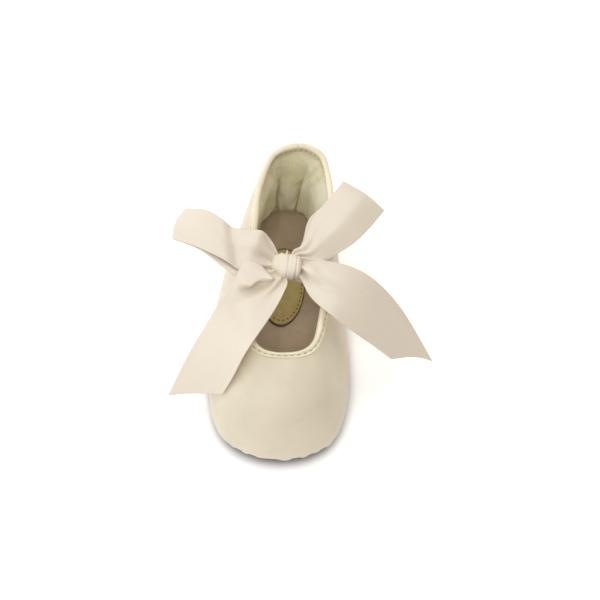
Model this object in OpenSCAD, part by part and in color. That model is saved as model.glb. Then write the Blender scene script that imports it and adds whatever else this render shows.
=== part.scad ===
// Infant's soft-soled ballet slipper, right foot, with a satin ribbon bow.
// Millimetres, +Z up, toe toward -Y, heel toward +Y, sole flat on Z = 0.
// The medial side is +X; mirroring X gives the left shoe.

/* [Sole] */
// length of the upper's outline where it turns under the foot
sole_len = 108; // [84:1:140]
// half width of the rounded toe outline
toe_r = 27.8; // [20:0.1:34]
// half width of the rounded heel outline
heel_r = 15.5; // [12:0.1:20]
// shift of the toe toward the big toe
toe_shift = 0.7; // [0:0.1:4]
// shift of the waist away from the big toe
waist_shift = 1.5; // [0:0.1:4]
// outsole thickness
outsole_t = 2.0; // [1.4:0.1:4]
// setback of the outsole's edge from the outline
outsole_inset = 1.5; // [0.5:0.1:4]
// insole foam and board thickness
insole_t = 1.2; // [0.8:0.1:4]
// sock (the visible footbed cover) thickness
sock_t = 0.6; // [0.4:0.1:1.5]

/* [Upper] */
// distance from the toe's outline back to the throat edge
throat_back = 23; // [16:0.5:40]
// half width of the throat opening
throat_r = 15.0; // [11:0.1:20]
// half width of the heel rim
rim_r = 15.5; // [11:0.1:20]
// height of the throat edge
throat_h = 32; // [24:0.5:42]
// height of the heel rim
heel_h = 43.5; // [32:0.5:58]
// fullness of the toe beyond the outline
toe_full = 3.4; // [1:0.1:5]
// fullness of the sides and heel beyond the outline
side_full = 2.2; // [1:0.1:4]
// crown of the vamp above a straight line to the throat
crown = 6.0; // [0:0.1:9]
// leather thickness of the upper
upper_t = 0.9; // [0.6:0.1:1.6]
// stiffener thickness in toe and heel
stiff_t = 0.6; // [0.4:0.1:1.2]
// lining thickness
lining_t = 0.6; // [0.4:0.1:1.2]
// extra padding in the heel lining
pad_t = 2.0; // [0:0.1:3]
// depth of the folded topline binding
bind_w = 3.0; // [2:0.1:5]
// binding tape thickness
bind_t = 0.45; // [0.3:0.05:0.8]

/* [Label] */
// long axis of the oval label
label_len = 36; // [24:0.5:44]
// short axis of the oval label
label_w = 17; // [14:0.5:24]
// label leather thickness
label_t = 0.5; // [0.3:0.1:1]

/* [Thread] */
// sewing thread radius
thread_r = 0.22; // [0.15:0.01:0.4]
// distance from one stitch to the next
stitch_pitch = 3.0; // [2:0.1:5]

/* [Ribbon] */
// satin ribbon width
ribbon_w = 19; // [12:0.5:22]
// satin ribbon thickness
ribbon_t = 0.4; // [0.3:0.05:0.6]
// radius of the knot
knot_r = 4.9; // [4:0.1:7]
// height of the knot
knot_h = 6.2; // [5:0.1:8]
// half height of each loop's hollow
loop_open = 2.6; // [1:0.1:4]
// free gap between the knot and each swinging piece
swing_gap = 0.4; // [0.35:0.05:0.6]

/* [Hidden] */
// gap left between one sewn layer and the next
gap = 0.05;
// solids around the shoe and up the wall
na = 60;
nu = 16;
toe_y = -sole_len / 2;
heel_y = sole_len / 2;
throat_y = toe_y + throat_back;
rim_y = heel_y - 0.2;
// the upper turns under just above the outsole
margin_z = outsole_t + gap;
wall_t = upper_t + stiff_t + 2 * gap + lining_t;
insole_z = margin_z + 2.3;
sock_z = insole_z + insole_t + gap;
label_z = sock_z + sock_t + gap;
// drape of the ribbons follows the shoe's own size
drape = [toe_r / 27.8, sole_len / 108, throat_h / 32];

leather = [0.89, 0.85, 0.76];
tan = [0.48, 0.39, 0.2];
satin = [0.94, 0.9, 0.83];
textile = [0.86, 0.82, 0.68];
sole_grey = [0.6, 0.57, 0.5];
thread = [0.78, 0.72, 0.58];

// ---- the last: an outline, a topline and a wall curve between them

function smooth(x) = let(c = min(max(x, 0), 1)) c * c * (3 - 2 * c);
function wrap(a) = abs(((a + 180) % 360 + 360) % 360 - 180);
// 0 at the heel, 1 at the toe
function toeness(a) = smooth((wrap(a) - 35) / 110);
function mix(a, b, k) = a + (b - a) * k;
function unit(v) = v / norm(v);

// one closed ring made of a heel arc and a toe arc; a = 0 heel, 180 toe
function ring(a, yh, rh, qh, yt, rt, qt) =
    let(k = toeness(a), r = mix(rh, rt, k), q = mix(qh, qt, k))
    [r * sin(a), mix(yh - rh * qh, yt + rt * qt, k) + q * r * cos(a)];

// the line where the upper turns under the foot
function outline(a) =
    ring(a, heel_y, heel_r, 1, toe_y, toe_r, 1)
    + [toe_shift * toeness(a) - waist_shift * pow(sin(a), 2), 0];

function outward(a) =
    let(d = unit(outline(a + 0.5) - outline(a - 0.5))) [-d[1], d[0]];

// the topline: low at the throat, high at the heel, leaning with the foot
function topline(a) =
    let(p = ring(a, rim_y, rim_r, 1.1, throat_y, throat_r, 0.6),
        c = pow(cos(a / 2), 2))
    [p[0] + mix(1, 4, c), p[1], throat_h + (heel_h - throat_h) * pow(c, 1.6)];

function side(a, toe_heel, flank) = mix(toe_heel, flank, pow(sin(a), 2));
function at(a, off, z) = let(p = outline(a) + outward(a) * off) [p[0], p[1], z];

// control points of the wall: margin, feather edge, wall, vamp crown, topline
function controls(a) =
    let(k = toeness(a),
        full = side(a, mix(side_full + 0.2, toe_full, k), side_full),
        lift = side(a, mix(1.5, crown, k), 1),
        n = outward(a),
        rise = [n[0] * 0.6, n[1] * 0.6, 0.8] * lift,
        t = topline(a),
        w = at(a, full, margin_z + 7))
    [at(a, -8, margin_z),
     at(a, -2.5, margin_z),
     at(a, full * 0.9, margin_z + 0.6),
     w,
     w + (t - w) * 0.36 + rise,
     w + (t - w) * 0.72 + rise * 0.75,
     t];

// uniform cubic B-spline that starts and ends on its end points
function spline(q, u) =
    let(n = len(q),
        p = concat([2 * q[0] - q[1]], q, [2 * q[n - 1] - q[n - 2]]),
        s = min(floor(u * (n - 1)), n - 2),
        w = u * (n - 1) - s)
    (pow(1 - w, 3) * p[s] + (3 * pow(w, 3) - 6 * w * w + 4) * p[s + 1]
    + (-3 * pow(w, 3) + 3 * w * w + 3 * w + 1) * p[s + 2]
    + pow(w, 3) * p[s + 3]) / 6;

// the wall is sampled once; every layer is an offset of the same points
step_a = 360 / na;
// row nu is the topline and row nu - 1 the lower edge of its binding
function skin_rows(q) =
    let(bind = bind_w * 0.05 / norm(spline(q, 1) - spline(q, 0.95)))
    [for (j = [0 : nu]) spline(q, j < 5 ? j * 0.055 : j == nu ? 1
        : mix(0.22, 1 - bind, (j - 4) / (nu - 5)))];
skin = [for (i = [0 : na - 1]) skin_rows(controls(i * step_a))];
function sk(i, j) = skin[(i + na) % na][j];
out = [for (i = [0 : na - 1]) [for (j = [0 : nu])
    let(d = sk(i + 1, j) - sk(i - 1, j),
        u = sk(i, min(j + 1, nu)) - sk(i, max(j - 1, 0)))
    unit(cross(u, d))]];
function pt(i, j, d) = sk(i, j) + out[(i + na) % na][j] * d;

// ---- solids swept from lists of points

// faces of a sweep whose sections run out along one side and back along the other
function sweep_faces(n, m, loop) = concat(
    [for (s = [0 : n - (loop ? 1 : 2)]) for (k = [0 : m - 1])
        let(a = s * m, b = ((s + 1) % n) * m, l = (k + 1) % m)
        each [[a + k, b + k, b + l], [a + k, b + l, a + l]]],
    loop ? [] : [for (k = [0 : m / 2 - 2]) let(e = (n - 1) * m, r = m - 1 - k)
        each [[k, k + 1, r - 1], [k, r - 1, r], [e + r, e + r - 1, e + k + 1], [e + r, e + k + 1, e + k]]]);

module sweep(sections, loop = false) {
    n = len(sections);
    m = len(sections[0]);
    polyhedron([for (s = sections) each s], sweep_faces(n, m, loop));
}

// a layer between two offsets of the wall; rows j0..j1, columns i0..i1
module layer(i0, i1, j0, j1, d0, d1, pad = 0) {
    loop = i1 - i0 >= na;
    sweep([for (i = [i0 : loop ? i1 - 1 : i1]) concat(
        [for (j = [j0 : j1]) pt(i, j, -d0)],
        [for (j = [j1 : -1 : j0]) pt(i, j, -d1 - pad * puff(i, i0, i1, j, j0, j1))])],
        loop);
}

// padding that fades out toward every edge of its layer
function puff(i, i0, i1, j, j0, j1) =
    let(s = (i - i0) / (i1 - i0), t = (j - j0) / (j1 - j0))
    smooth(min(s, 1 - s) * 4) * smooth(t * 3) * smooth((1 - t) * 3.2 - 0.3);

// flat piece cut to the inside of the wall at row 4
module flat_piece(inset, z, t) {
    translate([0, 0, z])
        linear_extrude(t)
            polygon([for (i = [0 : na - 1]) let(p = pt(i, 4, -inset)) [p[0], p[1]]]);
}

// flat piece cut to the outline moved outward by off
module sole_shape(off, z, t) {
    translate([0, 0, z])
        linear_extrude(t)
            polygon([for (i = [0 : na - 1]) outline(i * step_a) + outward(i * step_a) * off]);
}

// one stitch lying from a to b
module stitch(a, b) {
    v = b - a;
    translate(a)
        rotate([0, acos(v[2] / norm(v)), atan2(v[1], v[0])])
            cylinder(h = norm(v), r = thread_r, $fn = 16);
}

// ---- sole

module outsole() {
    color(sole_grey)
        difference() {
            sole_shape(-outsole_inset, 0, outsole_t);
            difference() {
                sole_shape(-outsole_inset - 3, -1, 1.6);
                sole_shape(-outsole_inset - 4, -1, 1.6);
            }
        }
}

module sole_stitching() {
    off = -outsole_inset - 3.5;
    color(thread)
        for (i = [0 : na - 1])
            let(a = at(i * step_a, off, 0.3),
                b = at((i + 1) * step_a, off, 0.3),
                m = max(1, round(norm(b - a) / stitch_pitch)))
            for (k = [0 : m - 1])
                stitch(mix(a, b, (k + 0.1) / m), mix(a, b, (k + 0.7) / m));
}

// fills the hollow between the turned-under margins
module bottom_filler() {
    color(textile)
        translate([0, 0, margin_z])
            linear_extrude(insole_z - gap - margin_z)
                polygon([for (i = [0 : na - 1]) let(p = outline(i * step_a))
                    [p[0] * 0.5, p[1] * 0.8]]);
}

module insole_board() {
    color([0.75, 0.68, 0.52])
        flat_piece(wall_t + 0.3, insole_z, insole_t);
}

module sock() {
    color([0.55, 0.48, 0.38])
        flat_piece(wall_t + 0.5, sock_z, sock_t);
}

module label_patch() {
    color(tan)
        translate([-0.6, 14.6, label_z])
            linear_extrude(label_t)
                polygon([for (a = [0 : 6 : 354]) [label_w * cos(a), label_len * sin(a)] / 2]);
}

module label_stitching() {
    n = 30;
    color(thread)
        for (k = [0 : n - 1])
            let(a = 360 * k / n, b = a + 216 / n,
                z = label_z + label_t + thread_r + gap,
                p = [label_w / 2 - 1.2, label_len / 2 - 1.2])
            stitch([p[0] * cos(a) - 0.6, p[1] * sin(a) + 14.6, z],
                [p[0] * cos(b) - 0.6, p[1] * sin(b) + 14.6, z]);
}

// ---- upper

module upper() {
    color(leather)
        layer(0, na, 0, nu, 0, upper_t);
}

module toe_puff() {
    color(textile)
        layer(21, 39, 5, 10, upper_t + gap, upper_t + gap + stiff_t);
}

module heel_counter() {
    color(textile)
        layer(-11, 11, 5, 12, upper_t + gap, upper_t + gap + stiff_t);
}

module back_seam_tape() {
    color(leather)
        layer(-1, 1, 5, nu - 3, -gap - 0.35, -gap);
}

module back_seam_stitching() {
    color(thread)
        for (i = [-1, 1])
            for (j = [5 : nu - 4])
                for (h = [0.1, 0.6])
                    let(d = gap * 2 + 0.35 + thread_r,
                        a = pt(0, j, d), b = pt(0, j + 1, d),
                        s = unit(pt(1, j, 0) - pt(-1, j, 0)) * i)
                    stitch(mix(a, b, h) + s, mix(a, b, h + 0.3) + s);
}

module vamp_lining() {
    color(textile)
        layer(16, 44, 4, nu, wall_t - lining_t, wall_t);
}

module quarter_lining() {
    color(textile)
        layer(-15, 15, 4, nu, wall_t - lining_t, wall_t, pad_t);
}

// ---- topline

// point on the wall a distance below the topline, moved out by d
function rim(i, down, d) =
    let(r = nu - down / bind_w, j = min(floor(r), nu - 1))
    mix(pt(i, j, d), pt(i, j + 1, d), r - j);

module topline_binding() {
    o = gap;
    w = wall_t + gap;
    color(leather)
        sweep([for (i = [0 : na - 1]) [
            rim(i, bind_w, o),
            rim(i, bind_w, o + bind_t),
            rim(i, 0, o + bind_t),
            rim(i, -gap - bind_t * 0.9, bind_t * 0.4),
            rim(i, -gap - bind_t * 0.9, -w - bind_t * 0.4),
            rim(i, 0, -w - bind_t),
            rim(i, bind_w, -w - bind_t),
            rim(i, bind_w, -w),
            rim(i, -gap, -w),
            rim(i, -gap, o)]], true);
}

module topline_stitching() {
    n = na;
    d = 2 * gap + bind_t + thread_r;
    color(thread)
        for (i = [0 : n - 1])
            let(a = rim(i, bind_w * 0.62, d), b = rim(i + 1, bind_w * 0.62, d))
            stitch(mix(a, b, 0.08), mix(a, b, 0.62));
}

// ---- ribbon ties and bow

// the knot floats over the foot, level with the sides of the topline
knot = [1.2, 0.5 * drape[1], topline(90)[2] + knot_h / 2 - 0.1];

// smooth curve through stations, straight beyond both ends
function rail(st, e, x) =
    let(n = len(st), s = min(max(floor(x), 0), n - 2), w = x - s,
        b = st[s][e], c = st[s + 1][e],
        a = s > 0 ? st[s - 1][e] : 2 * b - c,
        d = s < n - 2 ? st[s + 2][e] : 2 * c - b)
    w < 0 ? mix(b, c, w) : w > 1 ? mix(b, c, w)
    : 0.5 * (2 * b + (c - a) * w + (2 * a - 5 * b + 4 * c - d) * w * w
        + (3 * b - a - 3 * c + d) * pow(w, 3));

// the two edges of a ribbon at x, spread to the ribbon's own width
function edges(st, x) =
    let(a = rail(st, 0, x), b = rail(st, 1, x), c = (a + b) / 2,
        h = (a - b) / 2 * ribbon_w / 19)
    [c + h, c - h];

function face(st, x) =
    let(e = edges(st, x), p = edges(st, x - 0.05), q = edges(st, x + 0.05))
    unit(cross(q[0] + q[1] - p[0] - p[1], e[0] - e[1]));

// across a ribbon: points from edge a to edge b, moved h along its face
function across(st, x, h, flip = false) =
    let(e = edges(st, x), n = face(st, x))
    [for (k = flip ? [1, 0.5, 0] : [0, 0.5, 1]) mix(e[0], e[1], k) + n * h];

// a hanging ply: rounded where it swings on the knot, thin to its cut end
module tail(list) {
    st = placed(list);
    n = len(st) - 1;
    root = 2 * swing_r - 0.1;
    xs = concat([-0.09, -0.05, 0, 0.2, 0.45], [for (k = [1 : 22]) 0.45 + (n - 0.45) * k / 22]);
    function half(x) = x < -0.07 ? root * 0.22 : x < -0.01 ? root * 0.42
        : mix(root, ribbon_t, smooth(x / 1.4)) / 2;
    color(satin)
        sweep([for (x = xs) concat(across(st, x, half(x)), across(st, x, -half(x), true))]);
}

// a loop: two plies that part, run out and meet again in a soft fold
module loop(list) {
    st = placed(list);
    n = len(st) - 1;
    m = 40;
    function swell(s, c) =
        sign(s) * pow(abs(s), 0.6) * mix(0.35, loop_open, smooth((1 - c) * 0.8));
    // outer and inner skins of the folded band at angle k
    function band(k, t) =
        let(s = sin(360 * k / m), c = cos(360 * k / m),
            x = n * (1 - c) / 2 - c * t * 0.05)
        [x, swell(s, c) + s * t * ribbon_t / 2];
    color(satin)
        sweep([for (k = [0 : m - 1]) let(o = band(k, 1), i = band(k, -1))
            concat(across(st, o[0], o[1]), across(st, i[0], i[1], true))], true);
}

// stations are pairs of edge points, measured from the knot; the first pair
// is the swinging root, set a free gap away from the knot's barrel
swing_r = 0.6;
function placed(list) =
    let(c = (list[0][0] + list[0][1]) / 2, r = norm([c[0], c[1]]),
        pull = [c[0], c[1], 0] * ((knot_r + swing_gap + swing_r) / r - 1))
    [for (s = [0 : len(list) - 1]) [for (p = list[s])
        s == 0 ? knot + p + pull
        : knot + [p[0] * drape[0], p[1] * drape[1], p[2] * drape[2]]]];

tail_right = [
    [[6.4, 0.6, 0.9], [5.8, -5.0, -0.6]],
    [[11.0, 0.9, 2.6], [9.3, -12.2, -1.2]],
    [[22.2, 0, 1.3], [16.7, -18.4, -2.6]],
    [[31.9, -2.6, -4.2], [24.9, -21.1, -8.7]],
    [[42.0, -6.5, -16.2], [31.5, -22.1, -15.2]],
    [[53.4, -16.9, -32.2], [37.9, -22.9, -21.7]]];

tail_left = [
    [[-4.7, -5.4, 0.2], [0.9, -7.1, -0.6]],
    [[-13.7, -5.3, 0.8], [-2.9, -16.1, -1.7]],
    [[-20.6, -11.4, -1.7], [-8.5, -26.5, -2.7]],
    [[-26.5, -20.0, -7.2], [-12.3, -33.1, -4.6]],
    [[-32.6, -27.8, -15.2], [-16.2, -38.1, -10.9]],
    [[-39.7, -37.3, -27.2], [-20.1, -41.0, -18.3]]];

loop_right = [
    [[3.0, 6.4, 1.2], [5.6, 3.9, 1.2]],
    [[6.0, 7.4, 3.8], [12.2, 3.4, 1.7]],
    [[9.5, 13.5, 9.8], [21.6, 5.7, 6.3]],
    [[14.5, 19.0, 13.8], [27.6, 10.7, 9.3]],
    [[19.4, 27.3, 13.8], [33.3, 19.7, 8.8]]];

loop_left = [
    [[-5.2, 5.5, 0.2], [-6.6, -0.3, 0.2]],
    [[-9.9, 9.4, 3.3], [-13.1, -3.0, 1.8]],
    [[-18.5, 13.3, 5.3], [-23.9, -0.2, 3.8]],
    [[-27.1, 20.2, 5.8], [-31.5, 3.3, 3.3]],
    [[-36.5, 22.6, 1.8], [-39.0, 8.7, -0.2]]];

module bow_tail_left() { tail(tail_left); }
module bow_tail_right() { tail(tail_right); }
module bow_loop_left() { loop(loop_left); }
module bow_loop_right() { loop(loop_right); }

// the knot's wrap: a barrel with softened ends
module bow_knot() {
    h = knot_h / 2;
    color(satin)
        translate(knot)
            rotate_extrude($fn = 48)
                polygon([[0, -h], [knot_r - 1.5, -h], [knot_r - 0.4, -h + 0.8], [knot_r, -h + 2],
                    [knot_r, h - 2], [knot_r - 0.5, h - 0.8], [knot_r - 1.7, h], [0, h]]);
}

// a tie: sewn inside the wall at column i, over to the underside of the knot
module strap(i, s) {
    d = -wall_t - bind_t - 2 * gap - ribbon_t / 2 - 0.1;
    z = knot[2] - knot_h / 2 - gap - ribbon_t / 2;
    spread = ribbon_w / (2 * norm(sk(i + 1, nu) - sk(i, nu)));
    // the sewn end follows the wall, the other gathers under the knot
    function sewn(down, e) = let(w = i - s * e * spread, f = floor(w))
        let(o = d - (down < 3 ? 0.6 : 0))
        mix(rim(f, down, o), rim(f + 1, down, o), w - f);
    function near(x, y, dz) = [knot[0] + s * x, knot[1] + y, z + dz];
    st = [
        [sewn(9, 1), sewn(9, -1)],
        [sewn(5, 1), sewn(5, -1)],
        [sewn(1.2, 0.95), sewn(1.2, -0.95)],
        [near(10, 6.5, 0.3), near(10, -6.5, 0.3)],
        [near(5, 3.6, 0), near(5, -3.6, 0)],
        [near(0.4, 3, 0), near(0.4, -3, 0)]];
    color(satin)
        sweep([for (k = [0 : 20]) let(x = k / 4, h = ribbon_t / 2,
            e = [rail(st, 0, x), rail(st, 1, x)],
            f = unit(cross(rail(st, 0, x + 0.05) + rail(st, 1, x + 0.05)
                - rail(st, 0, x - 0.05) - rail(st, 1, x - 0.05), e[0] - e[1])))
            [e[0] + f * h, mix(e[0], e[1], 0.5) + f * h, e[1] + f * h,
             e[1] - f * h, mix(e[0], e[1], 0.5) - f * h, e[0] - f * h]]);
}

module ribbon_strap_left() { strap(45, -1); }
module ribbon_strap_right() { strap(15, 1); }

module ribbon_anchor_stitching() {
    d = -wall_t - bind_t - 2 * gap - ribbon_t - 0.35 - thread_r;
    color(thread)
        for (i = [45, 15])
            for (k = [-2 : 1])
                for (h = [7, 8.4])
                    let(a = rim(i + k, h, d), b = rim(i + k + 1, h, d))
                    for (e = [0.1, 0.6])
                        stitch(mix(a, b, e), mix(a, b, e + 0.3));
}

outsole();
sole_stitching();
bottom_filler();
insole_board();
sock();
label_patch();
label_stitching();
upper();
toe_puff();
heel_counter();
back_seam_tape();
back_seam_stitching();
vamp_lining();
quarter_lining();
topline_binding();
topline_stitching();
ribbon_strap_left();
ribbon_strap_right();
ribbon_anchor_stitching();
bow_knot();
bow_loop_left();
bow_loop_right();
bow_tail_left();
bow_tail_right();
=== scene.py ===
"""Dresses the infant's ballet slipper: cream leather, towelling linings, satin ribbon bow.

Lengths are written in millimetres and turned to metres when a mesh is made. The shoe's
surfaces are one family: every layer of the wall is an offset of the same last surface.
"""

import logging
import math
from dataclasses import dataclass, field
from enum import Enum
from typing import Callable, Optional, Sequence

import bpy
import numpy as np
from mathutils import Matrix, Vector


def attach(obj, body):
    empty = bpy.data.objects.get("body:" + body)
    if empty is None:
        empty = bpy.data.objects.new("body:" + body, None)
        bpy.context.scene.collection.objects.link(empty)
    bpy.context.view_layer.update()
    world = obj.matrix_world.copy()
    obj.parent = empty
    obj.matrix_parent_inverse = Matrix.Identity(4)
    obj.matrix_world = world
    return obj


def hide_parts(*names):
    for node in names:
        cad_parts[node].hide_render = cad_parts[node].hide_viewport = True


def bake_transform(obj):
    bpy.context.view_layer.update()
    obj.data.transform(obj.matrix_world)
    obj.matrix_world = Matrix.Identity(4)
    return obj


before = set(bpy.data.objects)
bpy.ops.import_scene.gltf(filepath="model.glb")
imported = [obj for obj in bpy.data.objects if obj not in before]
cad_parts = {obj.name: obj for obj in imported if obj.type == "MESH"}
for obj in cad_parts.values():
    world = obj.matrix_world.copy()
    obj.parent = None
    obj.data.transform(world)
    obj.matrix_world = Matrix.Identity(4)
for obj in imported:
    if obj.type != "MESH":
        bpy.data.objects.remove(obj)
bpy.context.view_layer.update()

LOG = logging.getLogger("slipper")
MM = 0.001
SHOE = "shoe"

Array = np.ndarray


# --------------------------------------------------------------------------- small helpers


def smooth(x: Array | float) -> Array | float:
    """Eases 0 to 1 with level ends.

    Args:
        x: position, clipped to 0..1.

    Returns:
        The eased value.
    """
    c = np.clip(x, 0.0, 1.0)
    return c * c * (3 - 2 * c)


def bell(x: Array | float, centre: float, width: float) -> Array | float:
    """A soft bump of height 1 at centre that dies out over about two widths."""
    return np.exp(-(((x - centre) / width) ** 2))


def unit(v: Array) -> Array:
    """Vectors of length 1 along the last axis."""
    return v / np.maximum(np.linalg.norm(v, axis=-1, keepdims=True), 1e-9)


def from_heel(a: Array | float) -> Array:
    """Angles in degrees turned to -180..180, so 0 is the heel and either end the toe."""
    return (np.asarray(a, float) + 180) % 360 - 180


def run_length(points: Array) -> Array:
    """Distance along a line to each of its points."""
    return np.concatenate([[0], np.cumsum(np.linalg.norm(np.diff(points, axis=0), axis=1))])


def drift(x: Array, seed: int, octaves: int = 3) -> Array:
    """Slow, repeatable unevenness along a line, between about -1 and 1.

    Args:
        x: position, where 1 is about one wave of the slowest part.
        seed: picks the pattern.
        octaves: how many finer waves are added.

    Returns:
        One value for each position.
    """
    rng = np.random.default_rng(seed)
    total = np.zeros_like(np.asarray(x, float))
    whole_turn, fade, largest = 6.28, 1.7, 1.6
    for k in range(octaves):
        phase, stretch = rng.uniform(0, whole_turn), rng.uniform(0.8, 1.25)
        total = total + np.sin(x * whole_turn * stretch * 2**k + phase) / fade**k
    return total / largest


def srgb(code: str) -> tuple[float, float, float, float]:
    """Turns a hex colour to the linear values that shaders use.

    Args:
        code: six hex digits, with or without a leading #.

    Returns:
        Linear red, green, blue and an alpha of 1.
    """
    text = code.lstrip("#")
    parts = [int(text[i : i + 2], 16) / 255 for i in (0, 2, 4)]
    r, g, b = [c / 12.92 if c <= 0.04045 else ((c + 0.055) / 1.055) ** 2.4 for c in parts]
    return (r, g, b, 1.0)


def lattice(rows: int, cols: int, wrap_rows: bool = False, wrap_cols: bool = False) -> Array:
    """Quads that join a grid of points, row by row.

    Args:
        rows: number of rows.
        cols: number of points in a row.
        wrap_rows: joins the last row to the first.
        wrap_cols: joins the last column to the first.

    Returns:
        One row of four point numbers for each quad.
    """
    i = np.arange(rows if wrap_rows else rows - 1)[:, None]
    j = np.arange(cols if wrap_cols else cols - 1)[None, :]
    i2, j2 = (i + 1) % rows, (j + 1) % cols
    quads = np.stack([i * cols + j, i2 * cols + j, i2 * cols + j2, i * cols + j2], -1)
    return quads.reshape(-1, 4)


def make_mesh(
    name: str,
    points: Array,
    faces: Sequence[Sequence[int]],
    uv: Optional[Array] = None,
    flat: bool = False,
) -> bpy.types.Object:
    """Makes a mesh object from points in millimetres.

    Args:
        name: the object's name.
        points: one row of x, y, z for each point.
        faces: point numbers of each face.
        uv: one row of two values for each point, kept as the map "cloth".
        flat: leaves the faces flat-shaded.

    Returns:
        The new object, linked to the scene.
    """
    mesh = bpy.data.meshes.new(name)
    mesh.from_pydata((np.asarray(points, float) * MM).tolist(), [], [list(map(int, f)) for f in faces])
    mesh.validate()
    if uv is not None:
        layer = mesh.uv_layers.new(name="cloth")
        corner = np.zeros(len(mesh.loops), dtype=int)
        mesh.loops.foreach_get("vertex_index", corner)
        layer.data.foreach_set("uv", np.asarray(uv, float)[corner].ravel())
    mesh.polygons.foreach_set("use_smooth", [not flat] * len(mesh.polygons))
    outward_faces(mesh)
    piece = bpy.data.objects.new(name, mesh)
    bpy.context.scene.collection.objects.link(piece)
    return piece


def ring_mesh(name: str, rings: Sequence[Array], uv: Optional[Array] = None) -> bpy.types.Object:
    """Makes a closed skin from rings of points; the last ring joins the first.

    Args:
        name: the object's name.
        rings: grids of x, y, z rows, all of one length.
        uv: one row of two values for each point, kept as the map "cloth".

    Returns:
        The new object, linked to the scene.
    """
    quads = lattice(len(rings), len(rings[0]), wrap_rows=True, wrap_cols=True)
    return make_mesh(name, np.concatenate(rings), quads, uv=uv)


def outward_faces(mesh: bpy.types.Mesh) -> None:
    """Turns a closed mesh's faces to look outward.

    Args:
        mesh: the mesh to correct in place.
    """
    n = len(mesh.vertices)
    co = np.zeros(n * 3)
    mesh.vertices.foreach_get("co", co)
    co = co.reshape(-1, 3)
    mesh.calc_loop_triangles()
    tri = np.zeros(len(mesh.loop_triangles) * 3, dtype=int)
    mesh.loop_triangles.foreach_get("vertices", tri)
    a, b, c = (co[tri.reshape(-1, 3)[:, k]] for k in range(3))
    if np.einsum("ij,ij->i", a, np.cross(b, c)).sum() < 0:
        mesh.flip_normals()
    mesh.update()


def settle(
    piece: bpy.types.Object,
    material: bpy.types.Material,
    body: Optional[str] = SHOE,
    replaces: Sequence[str] = (),
) -> bpy.types.Object:
    """Gives a piece its material, its body and the CAD nodes it stands for.

    Args:
        piece: the object.
        material: its only material.
        body: the CAD body it moves with; None where the piece is blended across a joint.
        replaces: CAD nodes that it hides.

    Returns:
        The same object.
    """
    piece.data.materials.clear()
    piece.data.materials.append(material)
    if body:
        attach(piece, body)
    if replaces:
        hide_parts(*replaces)
    LOG.info("%s rides on %s, %d faces", piece.name, body or "a joint", len(piece.data.polygons))
    return piece


# --------------------------------------------------------------------------- finishes


Tree = bpy.types.NodeTree
Node = bpy.types.Node
Socket = bpy.types.NodeSocket
Inputs = dict[str | int, object]


def fill(tree: Tree, node: Node, inputs: Inputs) -> None:
    """Sets a node's inputs: a socket is linked, any other value is set.

    Args:
        tree: the material's node tree.
        node: the node to set.
        inputs: input name or number to its value or source.
    """
    for key, value in inputs.items():
        if isinstance(value, Socket):
            tree.links.new(value, node.inputs[key])
        else:
            node.inputs[key].default_value = value


def add(
    tree: Tree,
    kind: str,
    output: str | int,
    inputs: Optional[Inputs] = None,
    stops: Sequence[tuple[float, str]] = (),
    **settings: object,
) -> Socket:
    """Adds a node with its settings, input values and incoming links.

    Args:
        tree: the material's node tree.
        kind: the node's type name, without "ShaderNode".
        output: name or number of the output that is used.
        inputs: input name or number to a value, or to an output socket to link.
        stops: where the node is a colour ramp, the position and hex colour of each stop.
        **settings: attributes to set on the node first.

    Returns:
        The output.
    """
    made = tree.nodes.new("ShaderNode" + kind)
    for key, value in settings.items():
        setattr(made, key, value)
    fill(tree, made, inputs or {})
    if stops:
        made.color_ramp.interpolation = "EASE"
        for element, (place, code) in zip(made.color_ramp.elements, stops):
            element.position = place
            element.color = srgb(code)
    return made.outputs[output]


def per_metre(size_mm: float) -> float:
    """Texture scale for a pattern whose repeat is size_mm, in object space."""
    return 1.0 / (size_mm * MM)


@dataclass(frozen=True)
class Finish:
    """A real material and how it looks; subclasses draw its surface.

    Attributes:
        name: the material's name.
        roughness: how matt it is at its plainest.
    """

    name: str = "finish"
    roughness: float = 0.6

    def make(self) -> bpy.types.Material:
        """Builds the material once and hands it back after that.

        Returns:
            The Blender material.
        """
        found = bpy.data.materials.get(self.name)
        if found:
            return found
        material = bpy.data.materials.new(self.name)
        material.use_nodes = True
        tree = material.node_tree
        shader = tree.nodes["Principled BSDF"]
        fill(tree, shader, {"Roughness": self.roughness})
        fill(tree, shader, self.surface(tree))
        return material

    def surface(self, tree: Tree) -> Inputs:
        """Adds this finish's pattern.

        Args:
            tree: the material's node tree.

        Returns:
            The shader's inputs: a value, or the socket that drives it.
        """
        raise NotImplementedError


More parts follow.
